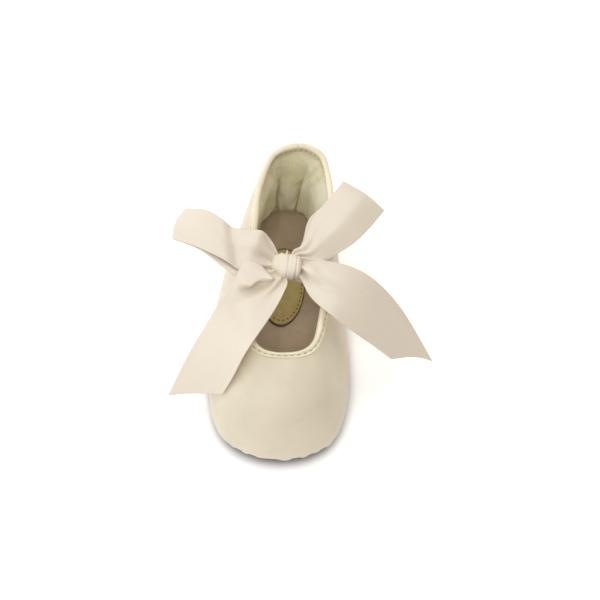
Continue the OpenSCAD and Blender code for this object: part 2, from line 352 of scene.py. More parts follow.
@dataclass(frozen=True)
class NappaLeather(Finish):
    """Soft pigmented lamb nappa: an even cream coat over a fine closed grain.

    The pigment coat hides most of the hide's mottling and leaves a broad, low sheen; the
    grain is pebbles about half a millimetre across with finer pores between them.

    Attributes:
        light: colour of most of the coat.
        deep: colour where the coat lies thicker.
        grain_mm: size of a pebble.
        bend_mm: how far the rows of pebbles wander.
    """

    name: str = "pigmented_nappa_leather"
    roughness: float = 0.46
    light: str = "#dbd1bb"
    deep: str = "#d4cab3"
    grain_mm: float = 0.55
    bend_mm: float = 1.2

    def surface(self, tree: Tree) -> Inputs:
        """Mottled pigment, pebbled grain and pores.

        Args:
            tree: the material's node tree.

        Returns:
            The shader's inputs.
        """
        place = add(tree, "TexCoord", "Object")
        mottle = add(
            tree, "TexNoise", "Fac", {"Vector": place, "Scale": per_metre(14), "Detail": 5.0, "Roughness": 0.6}
        )
        warp = add(tree, "TexNoise", "Color", {"Vector": place, "Scale": per_metre(2.5), "Detail": 2.0})
        bent = add(tree, "VectorMath", "Vector", {0: warp, 1: [self.bend_mm * MM] * 3}, operation="MULTIPLY")
        spot = add(tree, "VectorMath", "Vector", {0: place, 1: bent}, operation="ADD")
        grain = {"Vector": spot, "Scale": per_metre(self.grain_mm), "Randomness": 1.0}
        pebble = add(tree, "TexVoronoi", "Distance", grain, feature="SMOOTH_F1")
        pores = add(
            tree, "TexNoise", "Fac", {"Vector": place, "Scale": per_metre(0.22), "Detail": 3.0, "Roughness": 0.7}
        )
        coarse = add(tree, "Bump", "Normal", {"Height": pebble, "Strength": 0.16, "Distance": 0.12 * MM}, invert=True)
        return {
            "Base Color": add(tree, "ValToRGB", "Color", {"Fac": mottle}, [(0.3, self.deep), (0.62, self.light)]),
            "Roughness": add(
                tree,
                "MapRange",
                "Result",
                {"Value": mottle, "From Min": 0.3, "From Max": 0.7, "To Min": 0.42, "To Max": 0.54},
            ),
            "Normal": add(
                tree, "Bump", "Normal", {"Height": pores, "Strength": 0.12, "Distance": 0.06 * MM, "Normal": coarse}
            ),
            "Specular IOR Level": 0.42,
            "Sheen Weight": 0.08,
            "Sheen Roughness": 0.5,
        }


@dataclass(frozen=True)
class NappedLeather(Finish):
    """Suede or microsuede: a short nap that scatters light and shows brushed patches.

    Attributes:
        light: colour where the nap lies toward the light.
        deep: colour where it lies away.
        nap_mm: size of a tuft.
        patch_mm: size of a brushed patch.
        painted_heel_shade: painted shade, how much darker the heel half is drawn, standing in for the shade that the
            heel wall and the bow cast there.
    """

    name: str = "napped_leather"
    roughness: float = 0.95
    light: str = "#8f7660"
    deep: str = "#74604d"
    nap_mm: float = 0.3
    patch_mm: float = 9.0
    painted_heel_shade: float = 0.0

    def surface(self, tree: Tree) -> Inputs:
        """Brushed patches over a fine tufted bump, darkened toward the heel by painted shade.

        Args:
            tree: the material's node tree.

        Returns:
            The shader's inputs.
        """
        place = add(tree, "TexCoord", "Object")
        patch = add(
            tree,
            "TexNoise",
            "Fac",
            {"Vector": place, "Scale": per_metre(self.patch_mm), "Detail": 6.0, "Roughness": 0.62, "Distortion": 0.6},
        )
        tuft = add(
            tree,
            "TexNoise",
            "Fac",
            {"Vector": place, "Scale": per_metre(self.nap_mm), "Detail": 4.0, "Roughness": 0.75},
        )
        share = add(tree, "Math", 0, {0: patch, 1: tuft}, operation="ADD")
        half = add(tree, "Math", 0, {0: share, 1: 0.5}, operation="MULTIPLY")
        colour = add(tree, "ValToRGB", "Color", {"Fac": half}, [(0.36, self.deep), (0.62, self.light)])
        # Painted shade: the colour darkens toward the heel, standing in for the shade that the heel wall and the bow
        # cast on the rear of the sock.
        along = add(tree, "SeparateXYZ", "Y", {"Vector": place})
        painted_shade = add(
            tree,
            "MapRange",
            "Result",
            {"Value": along, "From Min": -8 * MM, "From Max": 14 * MM, "To Min": 1.0, "To Max": 1 - self.painted_heel_shade},
            interpolation_type="SMOOTHSTEP",
        )
        return {
            "Base Color": add(tree, "VectorMath", "Vector", {0: colour, "Scale": painted_shade}, operation="SCALE"),
            "Normal": add(tree, "Bump", "Normal", {"Height": tuft, "Strength": 0.5, "Distance": 0.16 * MM}),
            "Specular IOR Level": 0.15,
            "Sheen Weight": 0.35,
            "Sheen Roughness": 0.6,
            "Sheen Tint": srgb(self.light),
        }


@dataclass(frozen=True)
class LabelLeather(Finish):
    """Vegetable-tanned label leather, waxed, with its cut edge burnished dark.

    The map "cloth" carries, in its first value, how far a point lies from the label's
    middle: 1 at the cut edge.

    Attributes:
        middle: main colour of the tan.
        deep: colour of its darker mottling.
        rim: colour of the burnished edge.
        grain_mm: size of a grain.
    """

    name: str = "waxed_vegetable_tanned_leather"
    roughness: float = 0.5
    middle: str = "#c5ae6e"
    deep: str = "#b8a15c"
    rim: str = "#5b421c"
    grain_mm: float = 0.45

    def surface(self, tree: Tree) -> Inputs:
        """Mottled tan with a burnished rim and a fine grain.

        Args:
            tree: the material's node tree.

        Returns:
            The shader's inputs.
        """
        place = add(tree, "TexCoord", "Object")
        across = add(tree, "SeparateXYZ", "X", {"Vector": add(tree, "UVMap", "UV", uv_map="cloth")})
        mottle = add(
            tree, "TexNoise", "Fac", {"Vector": place, "Scale": per_metre(3.2), "Detail": 5.0, "Roughness": 0.65}
        )
        body = add(tree, "ValToRGB", "Color", {"Fac": mottle}, [(0.3, self.deep), (0.66, self.middle)])
        edge = add(
            tree,
            "MapRange",
            "Result",
            {"Value": across, "From Min": 0.93, "From Max": 0.99, "To Min": 0.0, "To Max": 1.0},
            interpolation_type="SMOOTHSTEP",
        )
        grain = add(
            tree, "TexVoronoi", "Distance", {"Vector": place, "Scale": per_metre(self.grain_mm)}, feature="SMOOTH_F1"
        )
        return {
            "Base Color": add(tree, "Mix", 2, {"Factor": edge, 6: body, 7: srgb(self.rim)}, data_type="RGBA"),
            "Normal": add(
                tree, "Bump", "Normal", {"Height": grain, "Strength": 0.25, "Distance": 0.12 * MM}, invert=True
            ),
            "Specular IOR Level": 0.4,
        }


@dataclass(frozen=True)
class Towelling(Finish):
    """Brushed cotton towelling: short loops in rows, so light catches tiny ridges.

    Attributes:
        light: colour at the tips of the loops.
        deep: colour down between them.
        row_mm: distance between rows of loops, drawn a little coarse so that it shows.
    """

    name: str = "cotton_towelling"
    roughness: float = 0.95
    light: str = "#fffbe2"
    deep: str = "#efe8b6"
    row_mm: float = 0.75

    def surface(self, tree: Tree) -> Inputs:
        """Rows of loops with ragged tips.

        Args:
            tree: the material's node tree.

        Returns:
            The shader's inputs.
        """
        place = add(tree, "TexCoord", "Object")
        wander = add(tree, "TexNoise", "Color", {"Vector": place, "Scale": per_metre(1.6), "Detail": 3.0})
        shift = add(tree, "VectorMath", "Vector", {0: wander, 1: (0.7, 0.7, 0.0)}, operation="MULTIPLY")
        flat = add(tree, "UVMap", "UV", uv_map="cloth")
        spot = add(tree, "VectorMath", "Vector", {0: flat, 1: shift}, operation="ADD")
        rows = {"Vector": spot, "Scale": 1.0 / self.row_mm, "Randomness": 0.55}
        loops = add(tree, "TexVoronoi", "Distance", rows, feature="SMOOTH_F1", voronoi_dimensions="2D")
        fuzz = add(
            tree, "TexNoise", "Fac", {"Vector": place, "Scale": per_metre(0.25), "Detail": 4.0, "Roughness": 0.8}
        )
        patch = add(tree, "TexNoise", "Fac", {"Vector": place, "Scale": per_metre(7), "Detail": 3.0})
        height = add(tree, "Math", 0, {0: loops, 1: -0.8, 2: fuzz}, operation="MULTIPLY_ADD")
        tone = add(tree, "Math", 0, {0: height, 1: 0.55, 2: patch}, operation="MULTIPLY_ADD")
        return {
            "Base Color": add(tree, "ValToRGB", "Color", {"Fac": tone}, [(0.34, self.deep), (0.78, self.light)]),
            "Normal": add(tree, "Bump", "Normal", {"Height": height, "Strength": 0.75, "Distance": 0.3 * MM}),
            "Specular IOR Level": 0.12,
            "Sheen Weight": 0.4,
            "Sheen Roughness": 0.7,
        }


@dataclass(frozen=True)
class SatinWeave(Finish):
    """Double-face polyester satin: long warp floats give a bright, streaked sheen.

    The floats run along the ribbon, so highlights stretch across it. The warp is about
    0.1 mm a thread; it is drawn at 0.18 mm so that it shows. The map "cloth" is in
    millimetres, along and across.

    Attributes:
        light: colour of the floats.
        deep: colour between them.
        thread_mm: width of a drawn warp thread.
    """

    name: str = "polyester_satin_ribbon"
    roughness: float = 0.36
    light: str = "#e2d8c8"
    deep: str = "#ddd2bf"
    thread_mm: float = 0.18

    def streaks(self, tree: Tree, scale: Sequence[float], detail: float, roughness: float) -> Socket:
        """A cloudy pattern stretched along or across the ribbon.

        Args:
            tree: the material's node tree.
            scale: patches for each millimetre along and across.
            detail: how many finer layers it has.
            roughness: how strong the finer layers are.

        Returns:
            Its value.
        """
        flat = add(tree, "UVMap", "UV", uv_map="cloth")
        spot = add(tree, "Mapping", "Vector", {"Vector": flat, "Scale": scale})
        inputs = {"Vector": spot, "Scale": 1.0, "Detail": detail, "Roughness": roughness}
        return add(tree, "TexNoise", "Fac", inputs, noise_dimensions="2D")

    def surface(self, tree: Tree) -> Inputs:
        """Warp streaks, weft ticks and an anisotropic sheen.

        Args:
            tree: the material's node tree.

        Returns:
            The shader's inputs.
        """
        warp = self.streaks(tree, (0.07, 1.0 / self.thread_mm, 1.0), 3.0, 0.6)
        weft = self.streaks(tree, (2.6, 0.35, 1.0), 2.0, 0.5)
        floats = add(tree, "Bump", "Normal", {"Height": warp, "Strength": 0.04, "Distance": 0.06 * MM})
        return {
            "Base Color": add(tree, "ValToRGB", "Color", {"Fac": warp}, [(0.25, self.deep), (0.7, self.light)]),
            "Normal": add(
                tree, "Bump", "Normal", {"Height": weft, "Strength": 0.04, "Distance": 0.06 * MM, "Normal": floats}
            ),
            "Roughness": add(
                tree,
                "MapRange",
                "Result",
                {"Value": warp, "From Min": 0.2, "From Max": 0.8, "To Min": 0.42, "To Max": 0.31},
            ),
            "Tangent": add(tree, "Tangent", "Tangent", direction_type="UV_MAP", uv_map="cloth"),
            "Anisotropic": 0.55,
            "Specular IOR Level": 0.6,
            "Sheen Weight": 0.15,
            "Sheen Roughness": 0.3,
        }


@dataclass(frozen=True)
class SewingThread(Finish):
    """Bonded polyester thread: two plies twisted, with a slight wax gloss.

    Attributes:
        light: colour of the fibres' tops.
        deep: colour between them.
    """

    name: str = "bonded_polyester_thread"
    roughness: float = 0.55
    light: str = "#d9c69a"
    deep: str = "#a88f5c"

    def surface(self, tree: Tree) -> Inputs:
        """Fibres along the ply.

        Args:
            tree: the material's node tree.

        Returns:
            The shader's inputs.
        """
        place = add(tree, "TexCoord", "Object")
        fibre = add(
            tree, "TexNoise", "Fac", {"Vector": place, "Scale": per_metre(0.5), "Detail": 3.0, "Roughness": 0.7}
        )
        return {
            "Base Color": add(tree, "ValToRGB", "Color", {"Fac": fibre}, [(0.3, self.deep), (0.7, self.light)]),
            "Normal": add(tree, "Bump", "Normal", {"Height": fibre, "Strength": 0.3, "Distance": 0.06 * MM}),
            "Sheen Weight": 0.2,
        }


@dataclass(frozen=True)
class PressedFibre(Finish):
    """Fibre board or needled felt: matt, with short fibres pressed every way.

    Attributes:
        light: colour of the fibres on top.
        deep: colour of those below.
        fibre_mm: size of a fleck.
    """

    name: str = "pressed_fibre"
    roughness: float = 0.95
    light: str = "#cbb892"
    deep: str = "#a8946c"
    fibre_mm: float = 1.1

    def surface(self, tree: Tree) -> Inputs:
        """Flecks of fibre and a rough surface.

        Args:
            tree: the material's node tree.

        Returns:
            The shader's inputs.
        """
        place = add(tree, "TexCoord", "Object")
        fleck = add(
            tree,
            "TexNoise",
            "Fac",
            {"Vector": place, "Scale": per_metre(self.fibre_mm), "Detail": 7.0, "Roughness": 0.75, "Distortion": 1.2},
        )
        return {
            "Base Color": add(tree, "ValToRGB", "Color", {"Fac": fleck}, [(0.35, self.deep), (0.65, self.light)]),
            "Normal": add(tree, "Bump", "Normal", {"Height": fleck, "Strength": 0.5, "Distance": 0.2 * MM}),
        }


NAPPA = NappaLeather()
BINDING = NappaLeather(name="folded_nappa_binding", light="#ece4cb", deep="#e3d9bc", grain_mm=0.45)
SUEDE = NappedLeather(name="suede_split_sole", light="#b7a78e", deep="#8d7d67", nap_mm=0.45)
# The sock's heel half is darkened by painted shade.
MICROSUEDE = NappedLeather(name="microsuede_sock", light="#dac4ac", deep="#c5af97", painted_heel_shade=0.3, nap_mm=0.28)
LABEL = LabelLeather()
TOWEL = Towelling()
SATIN = SatinWeave()
THREAD = SewingThread()
SEAM_THREAD = SewingThread(name="topstitch_thread", light="#c9b788", deep="#a08d60")
LABEL_THREAD = SewingThread(name="dark_label_thread", light="#7d5d20", deep="#523c12")
BOARD = PressedFibre(name="fibre_insole_board")
FELT = PressedFibre(name="needled_felt_stiffener", light="#d8cfbc", deep="#b9ae98", fibre_mm=2.0)


# --------------------------------------------------------------------------- the last


@dataclass
class Last:
    """The foot shape that every layer of the wall is offset from.

    Attributes:
        sole_len: length of the outline where the upper turns under.
        toe_r, heel_r: half widths of the outline's toe and heel.
        toe_shift, waist_shift: how far toe and waist lie to the right and left.
        throat_y, throat_r, throat_h: front edge, half width and height of the opening.
        rim_y, rim_r, heel_h: back edge, half width and height of the heel rim.
        toe_full, side_full: how far the wall swells past the outline at the toe and the sides.
        crown: how high the toe leather arches toward the opening.
        throat_nip: how much the opening draws in at its waist.
        corner_ease: how much the front corners of the opening are rounded off.
        margin_z: height of the turned-under margin's underside.
        wall_t: thickness of leather, stiffener and lining together.
    """

    sole_len: float = 108.0
    toe_r: float = 27.8
    heel_r: float = 15.5
    toe_shift: float = 0.7
    waist_shift: float = 1.5
    throat_y: float = -30.4
    throat_r: float = 15.9
    throat_h: float = 32.0
    rim_y: float = 53.8
    rim_r: float = 15.5
    heel_h: float = 43.5
    toe_full: float = 3.4
    side_full: float = 2.2
    crown: float = 6.0
    throat_nip: float = 1.9
    corner_ease: float = 0.6
    margin_z: float = 2.05
    wall_t: float = 2.2

    def toeness(self, a: Array) -> Array:
        """0 at the heel, 1 at the toe, for angles in degrees."""
        return smooth((np.abs(from_heel(a)) - 35) / 110)

    def ring(self, a: Array, heel: tuple, toe: tuple) -> Array:
        """A closed ring made of a heel arc and a toe arc.

        Args:
            a: angles in degrees, 0 at the heel and 180 at the toe.
            heel: end y, radius and squareness of the heel arc.
            toe: the same of the toe arc.

        Returns:
            x and y for each angle.
        """
        k, t = self.toeness(a), np.radians(a)
        r = heel[1] + (toe[1] - heel[1]) * k
        q = heel[2] + (toe[2] - heel[2]) * k
        middle = (heel[0] - heel[1] * heel[2]) * (1 - k) + (toe[0] + toe[1] * toe[2]) * k
        return np.stack([r * np.sin(t), middle + q * r * np.cos(t)], -1)

    def outline(self, a: Array) -> Array:
        """x and y where the upper turns under the foot.

        Args:
            a: angles in degrees, 0 at the heel and 180 at the toe.

        Returns:
            One x and y for each angle.
        """
        half = self.sole_len / 2
        p = self.ring(a, (half, self.heel_r, 1.0), (-half, self.toe_r, 1.0))
        p[..., 0] += self.toe_shift * self.toeness(a) - self.waist_shift * np.sin(np.radians(a)) ** 2
        return p

    def outward(self, a: Array) -> Array:
        """Outward direction of the outline in the plane."""
        d = unit(self.outline(np.asarray(a) + 0.5) - self.outline(np.asarray(a) - 0.5))
        return np.stack([-d[..., 1], d[..., 0]], -1)

    def topline(self, a: Array) -> Array:
        """Points of the opening's edge.

        Args:
            a: angles in degrees, 0 at the heel and 180 at the toe.

        Returns:
            One point for each angle.
        """
        p = self.ring(a, (self.rim_y, self.rim_r, 1.1), (self.throat_y, self.throat_r, 0.6))
        c = np.cos(np.radians(a) / 2) ** 2
        z = self.throat_h + (self.heel_h - self.throat_h) * c**1.6
        turn = from_heel(a)
        wide = np.abs(turn)
        nip = np.sign(turn) * self.throat_nip * bell(wide, 100.0, 30.0)
        ease = self.corner_ease * bell(wide, 141.0, 13.0)
        return np.stack([p[..., 0] + 1 + 3 * c - nip - 0.9 * np.sign(turn) * ease, p[..., 1] + ease, z], -1)

    def controls(self, a: Array) -> Array:
        """Control points of the wall curve: margin, feather edge, wall, crown, topline.

        Args:
            a: angles in degrees, 0 at the heel and 180 at the toe.

        Returns:
            Seven points for each angle.
        """
        k, s = self.toeness(a), np.sin(np.radians(a)) ** 2
        full = (self.side_full + 0.2 + (self.toe_full - self.side_full - 0.2) * k) * (1 - s) + self.side_full * s
        lift = ((1.5 + (self.crown - 1.5) * k) * (1 - s) + s)[..., None]
        base, n, top = self.outline(a), self.outward(a), self.topline(a)

        def at(off: Array | float, z: float) -> Array:
            """Points outward of the outline by off, at height z."""
            flat = base + n * np.broadcast_to(off, s.shape)[..., None]
            return np.concatenate([flat, np.full(s.shape + (1,), z)], -1)

        rise = np.concatenate([n * 0.6, np.full(s.shape + (1,), 0.8)], -1) * lift
        wall = at(full, self.margin_z + 7)
        return np.stack(
            [
                at(-8.0, self.margin_z),
                at(-2.5, self.margin_z),
                at(full * 0.9, self.margin_z + 0.6),
                wall,
                wall + (top - wall) * 0.36 + rise,
                wall + (top - wall) * 0.72 + rise * 0.75,
                top,
            ]
        )

    def curve(self, a: Array, u: Array) -> Array:
        """Wall points at paired angles and heights.

        Args:
            a: angles in degrees.
            u: 0 at the margin's inner edge, 1 at the topline; above 1 runs on straight.

        Returns:
            One point for each pair.
        """
        a, u = np.broadcast_arrays(np.asarray(a, float), np.asarray(u, float))
        q = self.controls(a)
        p = np.concatenate([[2 * q[0] - q[1]], q, [2 * q[-1] - q[-2]]])
        c = np.clip(u, 0, 1)
        n = len(q) - 1
        s = np.minimum((c * n).astype(int), n - 1)
        w = (c * n - s)[..., None]
        pick = [np.take_along_axis(p, (s + k)[None, ..., None], 0)[0] for k in range(4)]
        basis = ((1 - w) ** 3, 3 * w**3 - 6 * w**2 + 4, -3 * w**3 + 3 * w**2 + 3 * w + 1, w**3)
        point = sum(b * k for b, k in zip(basis, pick)) / 6
        beyond = (u - c)[..., None] * (q[-1] - q[-2]) * n
        return point + beyond

    def normal(self, a: Array, u: Array) -> Array:
        """Outward normals of the wall at paired angles and heights.

        Args:
            a: angles in degrees, 0 at the heel and 180 at the toe.
            u: heights, 0 at the margin's inner edge and 1 at the topline.

        Returns:
            One unit vector for each pair.
        """
        c = np.clip(np.asarray(u, float), 0, 1)
        da = self.curve(a + 0.4, c) - self.curve(a - 0.4, c)
        du = self.curve(a, np.minimum(c + 0.004, 1)) - self.curve(a, np.maximum(c - 0.004, 0))
        return unit(np.cross(du, da))

    def unevenness(self, a: Array, u: Array) -> Array:
        """How far hand-lasted leather strays from the last, in millimetres.

        Args:
            a: angles in degrees, 0 at the heel and 180 at the toe.
            u: heights, 0 at the margin's inner edge and 1 at the topline.

        Returns:
            One distance for each pair.
        """
        t = np.radians(a)
        slow = 0.16 * np.sin(3 * t + 0.7 + 4 * u) + 0.12 * np.sin(5 * t - 1.1 - 5 * u) + 0.07 * np.sin(11 * t + 7 * u)
        return slow * smooth((u - 0.25) * 4)

    def skin(self, a: Array, u: Array, d: Array | float) -> Array:
        """Wall points moved outward by d from the uneven last surface.

        Args:
            a: angles in degrees, 0 at the heel and 180 at the toe.
            u: heights, 0 at the margin's inner edge and 1 at the topline.
            d: distance outward.

        Returns:
            One point for each pair.
        """
        n = self.normal(a, u)
        depth = np.asarray(d, float) + self.unevenness(np.asarray(a, float), np.asarray(u, float))
        return self.curve(a, u) + n * np.broadcast_to(depth, n.shape[:-1])[..., None]

    def wall(self, u: Array | float) -> Array:
        """Thickness of the wall, skived thinner where the binding grips it."""
        return self.wall_t + (1.35 - self.wall_t) * smooth((np.asarray(u, float) - 0.82) / 0.11)

    def step_down(self, a: Array) -> Array:
        """Change in u for one millimetre below the topline."""
        span = np.linalg.norm(self.curve(a, 1.0) - self.curve(a, 0.95), axis=-1)
        return 0.05 / span

    def rim(self, a: Array, down: Array | float, d: Array | float) -> Array:
        """Points measured in millimetres down the wall from the topline."""
        a = np.asarray(a, float)
        return self.skin(a, 1 - down * self.step_down(a), d)

    def even_angles(self, count: int, u: float = 1.0, start: float = 0.0, stop: float = 360.0) -> Array:
        """Angles that divide a line round the wall into equal lengths.

        Args:
            count: how many steps; the last angle is left out of a full turn.
            u: height of the line.
            start: first angle.
            stop: last angle.

        Returns:
            The angles in degrees.
        """
        fine = np.linspace(start, stop, 1441)
        run = run_length(self.curve(fine, np.full(fine.shape, u)))
        full_turn = abs(stop - start) >= 359.9
        places = np.linspace(0, run[-1], count + 1 if full_turn else count)
        return np.interp(places[:count], run, fine)


LAST = Last()


@dataclass
class Stitches:
    """Runs of short two-ply stitches that dip into the work at both ends.

    Attributes:
        radius: thread radius.
        rise: how far the middle of a stitch stands above its ends.
        sink: how far its ends dip into the work.
        turns: how often the plies turn round each other in one stitch.
    """

    radius: float = 0.2
    rise: float = 0.16
    sink: float = 0.12
    turns: float = 1.2

    def run(self, name: str, starts: Array, ends: Array, normals: Array) -> bpy.types.Object:
        """Makes one mesh of stitches.

        Args:
            name: the object's name.
            starts: where each stitch comes out, one row each.
            ends: where it goes back in.
            normals: the outward direction at each stitch.

        Returns:
            The new object.
        """
        steps, sides = 9, 6
        s = np.linspace(0, 1, steps)[None, :, None]
        axis = unit(ends - starts)[:, None, :]
        up = unit(normals)[:, None, :]
        side = np.cross(axis, up)
        centre = starts[:, None, :] + (ends - starts)[:, None, :] * s
        centre = centre + up * (self.rise * np.sin(np.pi * s) - self.sink)
        thick = self.radius * 0.72 * np.sqrt(np.clip(np.sin(np.pi * (0.06 + 0.88 * s)), 0, 1))
        around = 2 * math.pi * np.arange(sides)[:, None] / sides
        ring = side[:, :, None] * np.cos(around) + up[:, :, None] * np.sin(around)
        plies = []
        for ply in (0.0, math.pi):
            twist = 2 * math.pi * s * self.turns + ply
            line = centre + (side * np.cos(twist) + up * np.sin(twist)) * self.radius * 0.42
            plies.append((line[:, :, None] + ring * thick[..., None]).reshape(-1, 3))
        points = np.concatenate(plies)
        each = steps * sides
        skin = lattice(steps, sides, wrap_cols=True).tolist() + [list(range(sides)), list(range(each - sides, each))]
        faces = [[p + base for p in face] for base in range(0, len(points), each) for face in skin]
        return make_mesh(name, points, faces)


# --------------------------------------------------------------------------- the shoe


@dataclass
class Sole:
    """Outsole, hidden bottom parts, footbed and label.

    Attributes:
        thickness: of the outsole.
        inset: of the outsole's edge from the outline.
        sock_z, sock_t: underside and thickness of the sock.
        label_z, label_t: underside and thickness of the oval label.
        label_len, label_w: its axes.
        label_at: x and y of its middle.
        label_stitches: number of stitches round it.
    """

    thickness: float = 2.0
    inset: float = 1.5
    sock_z: float = 5.6
    sock_t: float = 0.6
    label_z: float = 6.25
    label_t: float = 0.5
    label_len: float = 36.0
    label_w: float = 17.0
    label_at: tuple[float, float] = (-0.6, 14.6)
    label_stitches: int = 40

    def outsole(self) -> bpy.types.Object:
        """A suede sole with softened edges and a stitch channel underneath.

        Returns:
            The new object.
        """
        a = np.linspace(0, 360, 240, endpoint=False)
        top = self.thickness
        profile = [
            (0.0, top), (0.06, 1.9), (0.16, 1.6), (0.2, 1.0), (0.1, 0.4), (-0.15, 0.1), (-0.5, 0.0),
            (-1.5, 0.0), (-2.9, 0.0), (-3.05, 0.06), (-3.1, 0.5), (-3.5, 0.6), (-3.9, 0.5), (-3.95, 0.06),
            (-4.1, 0.0), (-8.0, 0.0), (-12.0, 0.0),
        ]  # fmt: skip
        rings = [self.inset_ring(a, off - self.inset, z) for off, z in profile]
        rings += [self.shrunk(a, 0.3, 0.0), self.shrunk(a, 0.3, top)]
        rings += [self.inset_ring(a, off - self.inset, top) for off in (-12.0, -6.0, -0.4)]
        return settle(ring_mesh("suede_outsole", rings), SUEDE.make(), SHOE, ["outsole"])

    def inset_ring(self, a: Array, off: float, z: float) -> Array:
        """The outline moved outward by off at height z, kept from crossing itself.

        Args:
            a: angles in degrees, 0 at the heel and 180 at the toe.
            off: distance outward from the outline.
            z: height.

        Returns:
            One point for each angle.
        """
        p, n = LAST.outline(a), LAST.outward(a)
        moved = p + n * max(off, -9.0)
        if off < -9.0:
            moved = moved * (1 + (off + 9) * 0.03)
        return np.column_stack([moved, np.full(len(a), z)])

    def shrunk(self, a: Array, share: float, z: float) -> Array:
        """The outline drawn in toward its middle."""
        return np.column_stack([LAST.outline(a) * share, np.full(len(a), z)])

    def channel_stitches(self) -> bpy.types.Object:
        """Stitches lying in the outsole's channel.

        Returns:
            The new object.
        """
        count = 96
        a = LAST.even_angles(count + 1, 0.0, 0.0, 360.0)
        p = self.inset_ring(a, -self.inset - 3.5, 0.42)
        starts, step = p[:-1], p[1:] - p[:-1]
        down = np.tile([0.0, 0.0, -1.0], (count, 1))
        run = (starts + step * 0.1, starts + step * 0.8, down)
        made = Stitches(radius=0.22, rise=0.05).run("sole_channel_stitches", *run)
        return settle(made, THREAD.make(), SHOE, ["sole_stitching"])

    def sock(self) -> bpy.types.Object:
        """The microsuede footbed cover: slightly dished, with a turned-down edge.

        Returns:
            The new object.
        """
        a = np.linspace(0.0, 180.0, 181)
        right, left = (LAST.skin(side * a, np.full(a.shape, 0.22), -LAST.wall_t - 0.55) for side in (1, -1))
        line = 0.5 - 0.5 * np.cos(np.linspace(0, math.pi, 150))
        y = right[-1, 1] + 0.01 + (right[0, 1] - right[-1, 1] - 0.02) * line
        x1 = np.interp(y, right[::-1, 1], right[::-1, 0])
        x0 = np.interp(y, left[::-1, 1], left[::-1, 0])
        across = np.linspace(0, 1, 61)[None, :]
        x = x0[:, None] + (x1 - x0)[:, None] * across
        yy = np.broadcast_to(y[:, None], x.shape)
        edge = smooth(np.minimum(across, 1 - across) * 14) * smooth(np.minimum(line, 1 - line)[:, None] * 30)
        dish = 0.14 * np.sin(yy * 0.16) * np.cos(x * 0.2) * edge + 0.08 * np.sin(x * 0.5 + yy * 0.23) * edge
        top = np.stack([x, yy, self.sock_z + self.sock_t - 0.22 * (1 - edge) + dish], -1)
        under = np.stack([x, yy, np.full(x.shape, self.sock_z)], -1)
        uv = np.column_stack([x.ravel(), yy.ravel()])
        made = closed_cloth("microsuede_sock", top, under, uv)
        return settle(made, MICROSUEDE.make(), SHOE, ["sock"])

    def label_ring(self, share: float, z: float, count: int) -> Array:
        """An oval ring round the label's middle.

        Args:
            share: size, 1 at the cut edge.
            z: height.
            count: number of points.

        Returns:
            The ring's points.
        """
        t = np.linspace(0, 2 * math.pi, count, endpoint=False)
        x = self.label_at[0] + self.label_w / 2 * share * np.cos(t)
        y = self.label_at[1] + self.label_len / 2 * share * np.sin(t)
        return np.column_stack([x, y, np.full(count, z)])

    def label(self) -> list[bpy.types.Object]:
        """The oval leather label, pressed down along its stitch line, and its stitches.

        Returns:
            The label and its stitches.
        """
        count = 160
        t = np.linspace(0, 2 * math.pi, count, endpoint=False)
        levels = [
            (0.99, 0.0), (1.0, 0.12), (1.0, 0.36), (0.99, 0.5), (0.965, 0.56), (0.93, 0.5),
            (0.89, 0.4), (0.86, 0.36), (0.82, 0.44), (0.77, 0.56), (0.6, 0.6), (0.3, 0.62), (0.02, 0.62),
        ]  # fmt: skip
        rings, uv = [], []
        for share, z in levels:
            rings.append(self.label_ring(share, self.label_z + z * self.label_t / 0.6, count))
            uv.append(np.column_stack([np.full(count, share), t]))
        rings.append(self.label_ring(0.02, self.label_z, count))
        uv.append(np.column_stack([np.full(count, 1.0), t]))
        patch = ring_mesh("oval_label", rings, uv=np.concatenate(uv))
        settle(patch, LABEL.make(), SHOE, ["label_patch"])
        line = self.label_ring(0.865, self.label_z + self.label_t * 0.72, 400)
        closed = np.vstack([line, line[:1]])
        run = run_length(closed)
        places = np.linspace(0, run[-1], self.label_stitches + 1)
        knots = np.column_stack([np.interp(places, run, closed[:, k]) for k in range(3)])
        starts, step = knots[:-1], knots[1:] - knots[:-1]
        up = np.tile([0.0, 0.0, 1.0], (self.label_stitches, 1))
        sewn = Stitches(radius=0.21, rise=0.2).run("label_stitches", starts + step * 0.22, starts + step * 0.72, up)
        settle(sewn, LABEL_THREAD.make(), SHOE, ["label_stitching"])
        return [patch, sewn]

    def dress_hidden(self) -> None:
        """Gives the CAD nodes that stay their own finishes."""
        hidden = {"bottom_filler": FELT, "insole_board": BOARD, "toe_puff": FELT, "heel_counter": FELT}
        for node, finish in hidden.items():
            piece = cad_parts[node]
            piece.data.materials.clear()
            piece.data.materials.append(finish.make())
            LOG.info("%s keeps its CAD shape", node)

    def build(self) -> None:
        """Makes every piece under the foot."""
        self.outsole()
        self.channel_stitches()
        self.sock()
        self.label()
        self.dress_hidden()


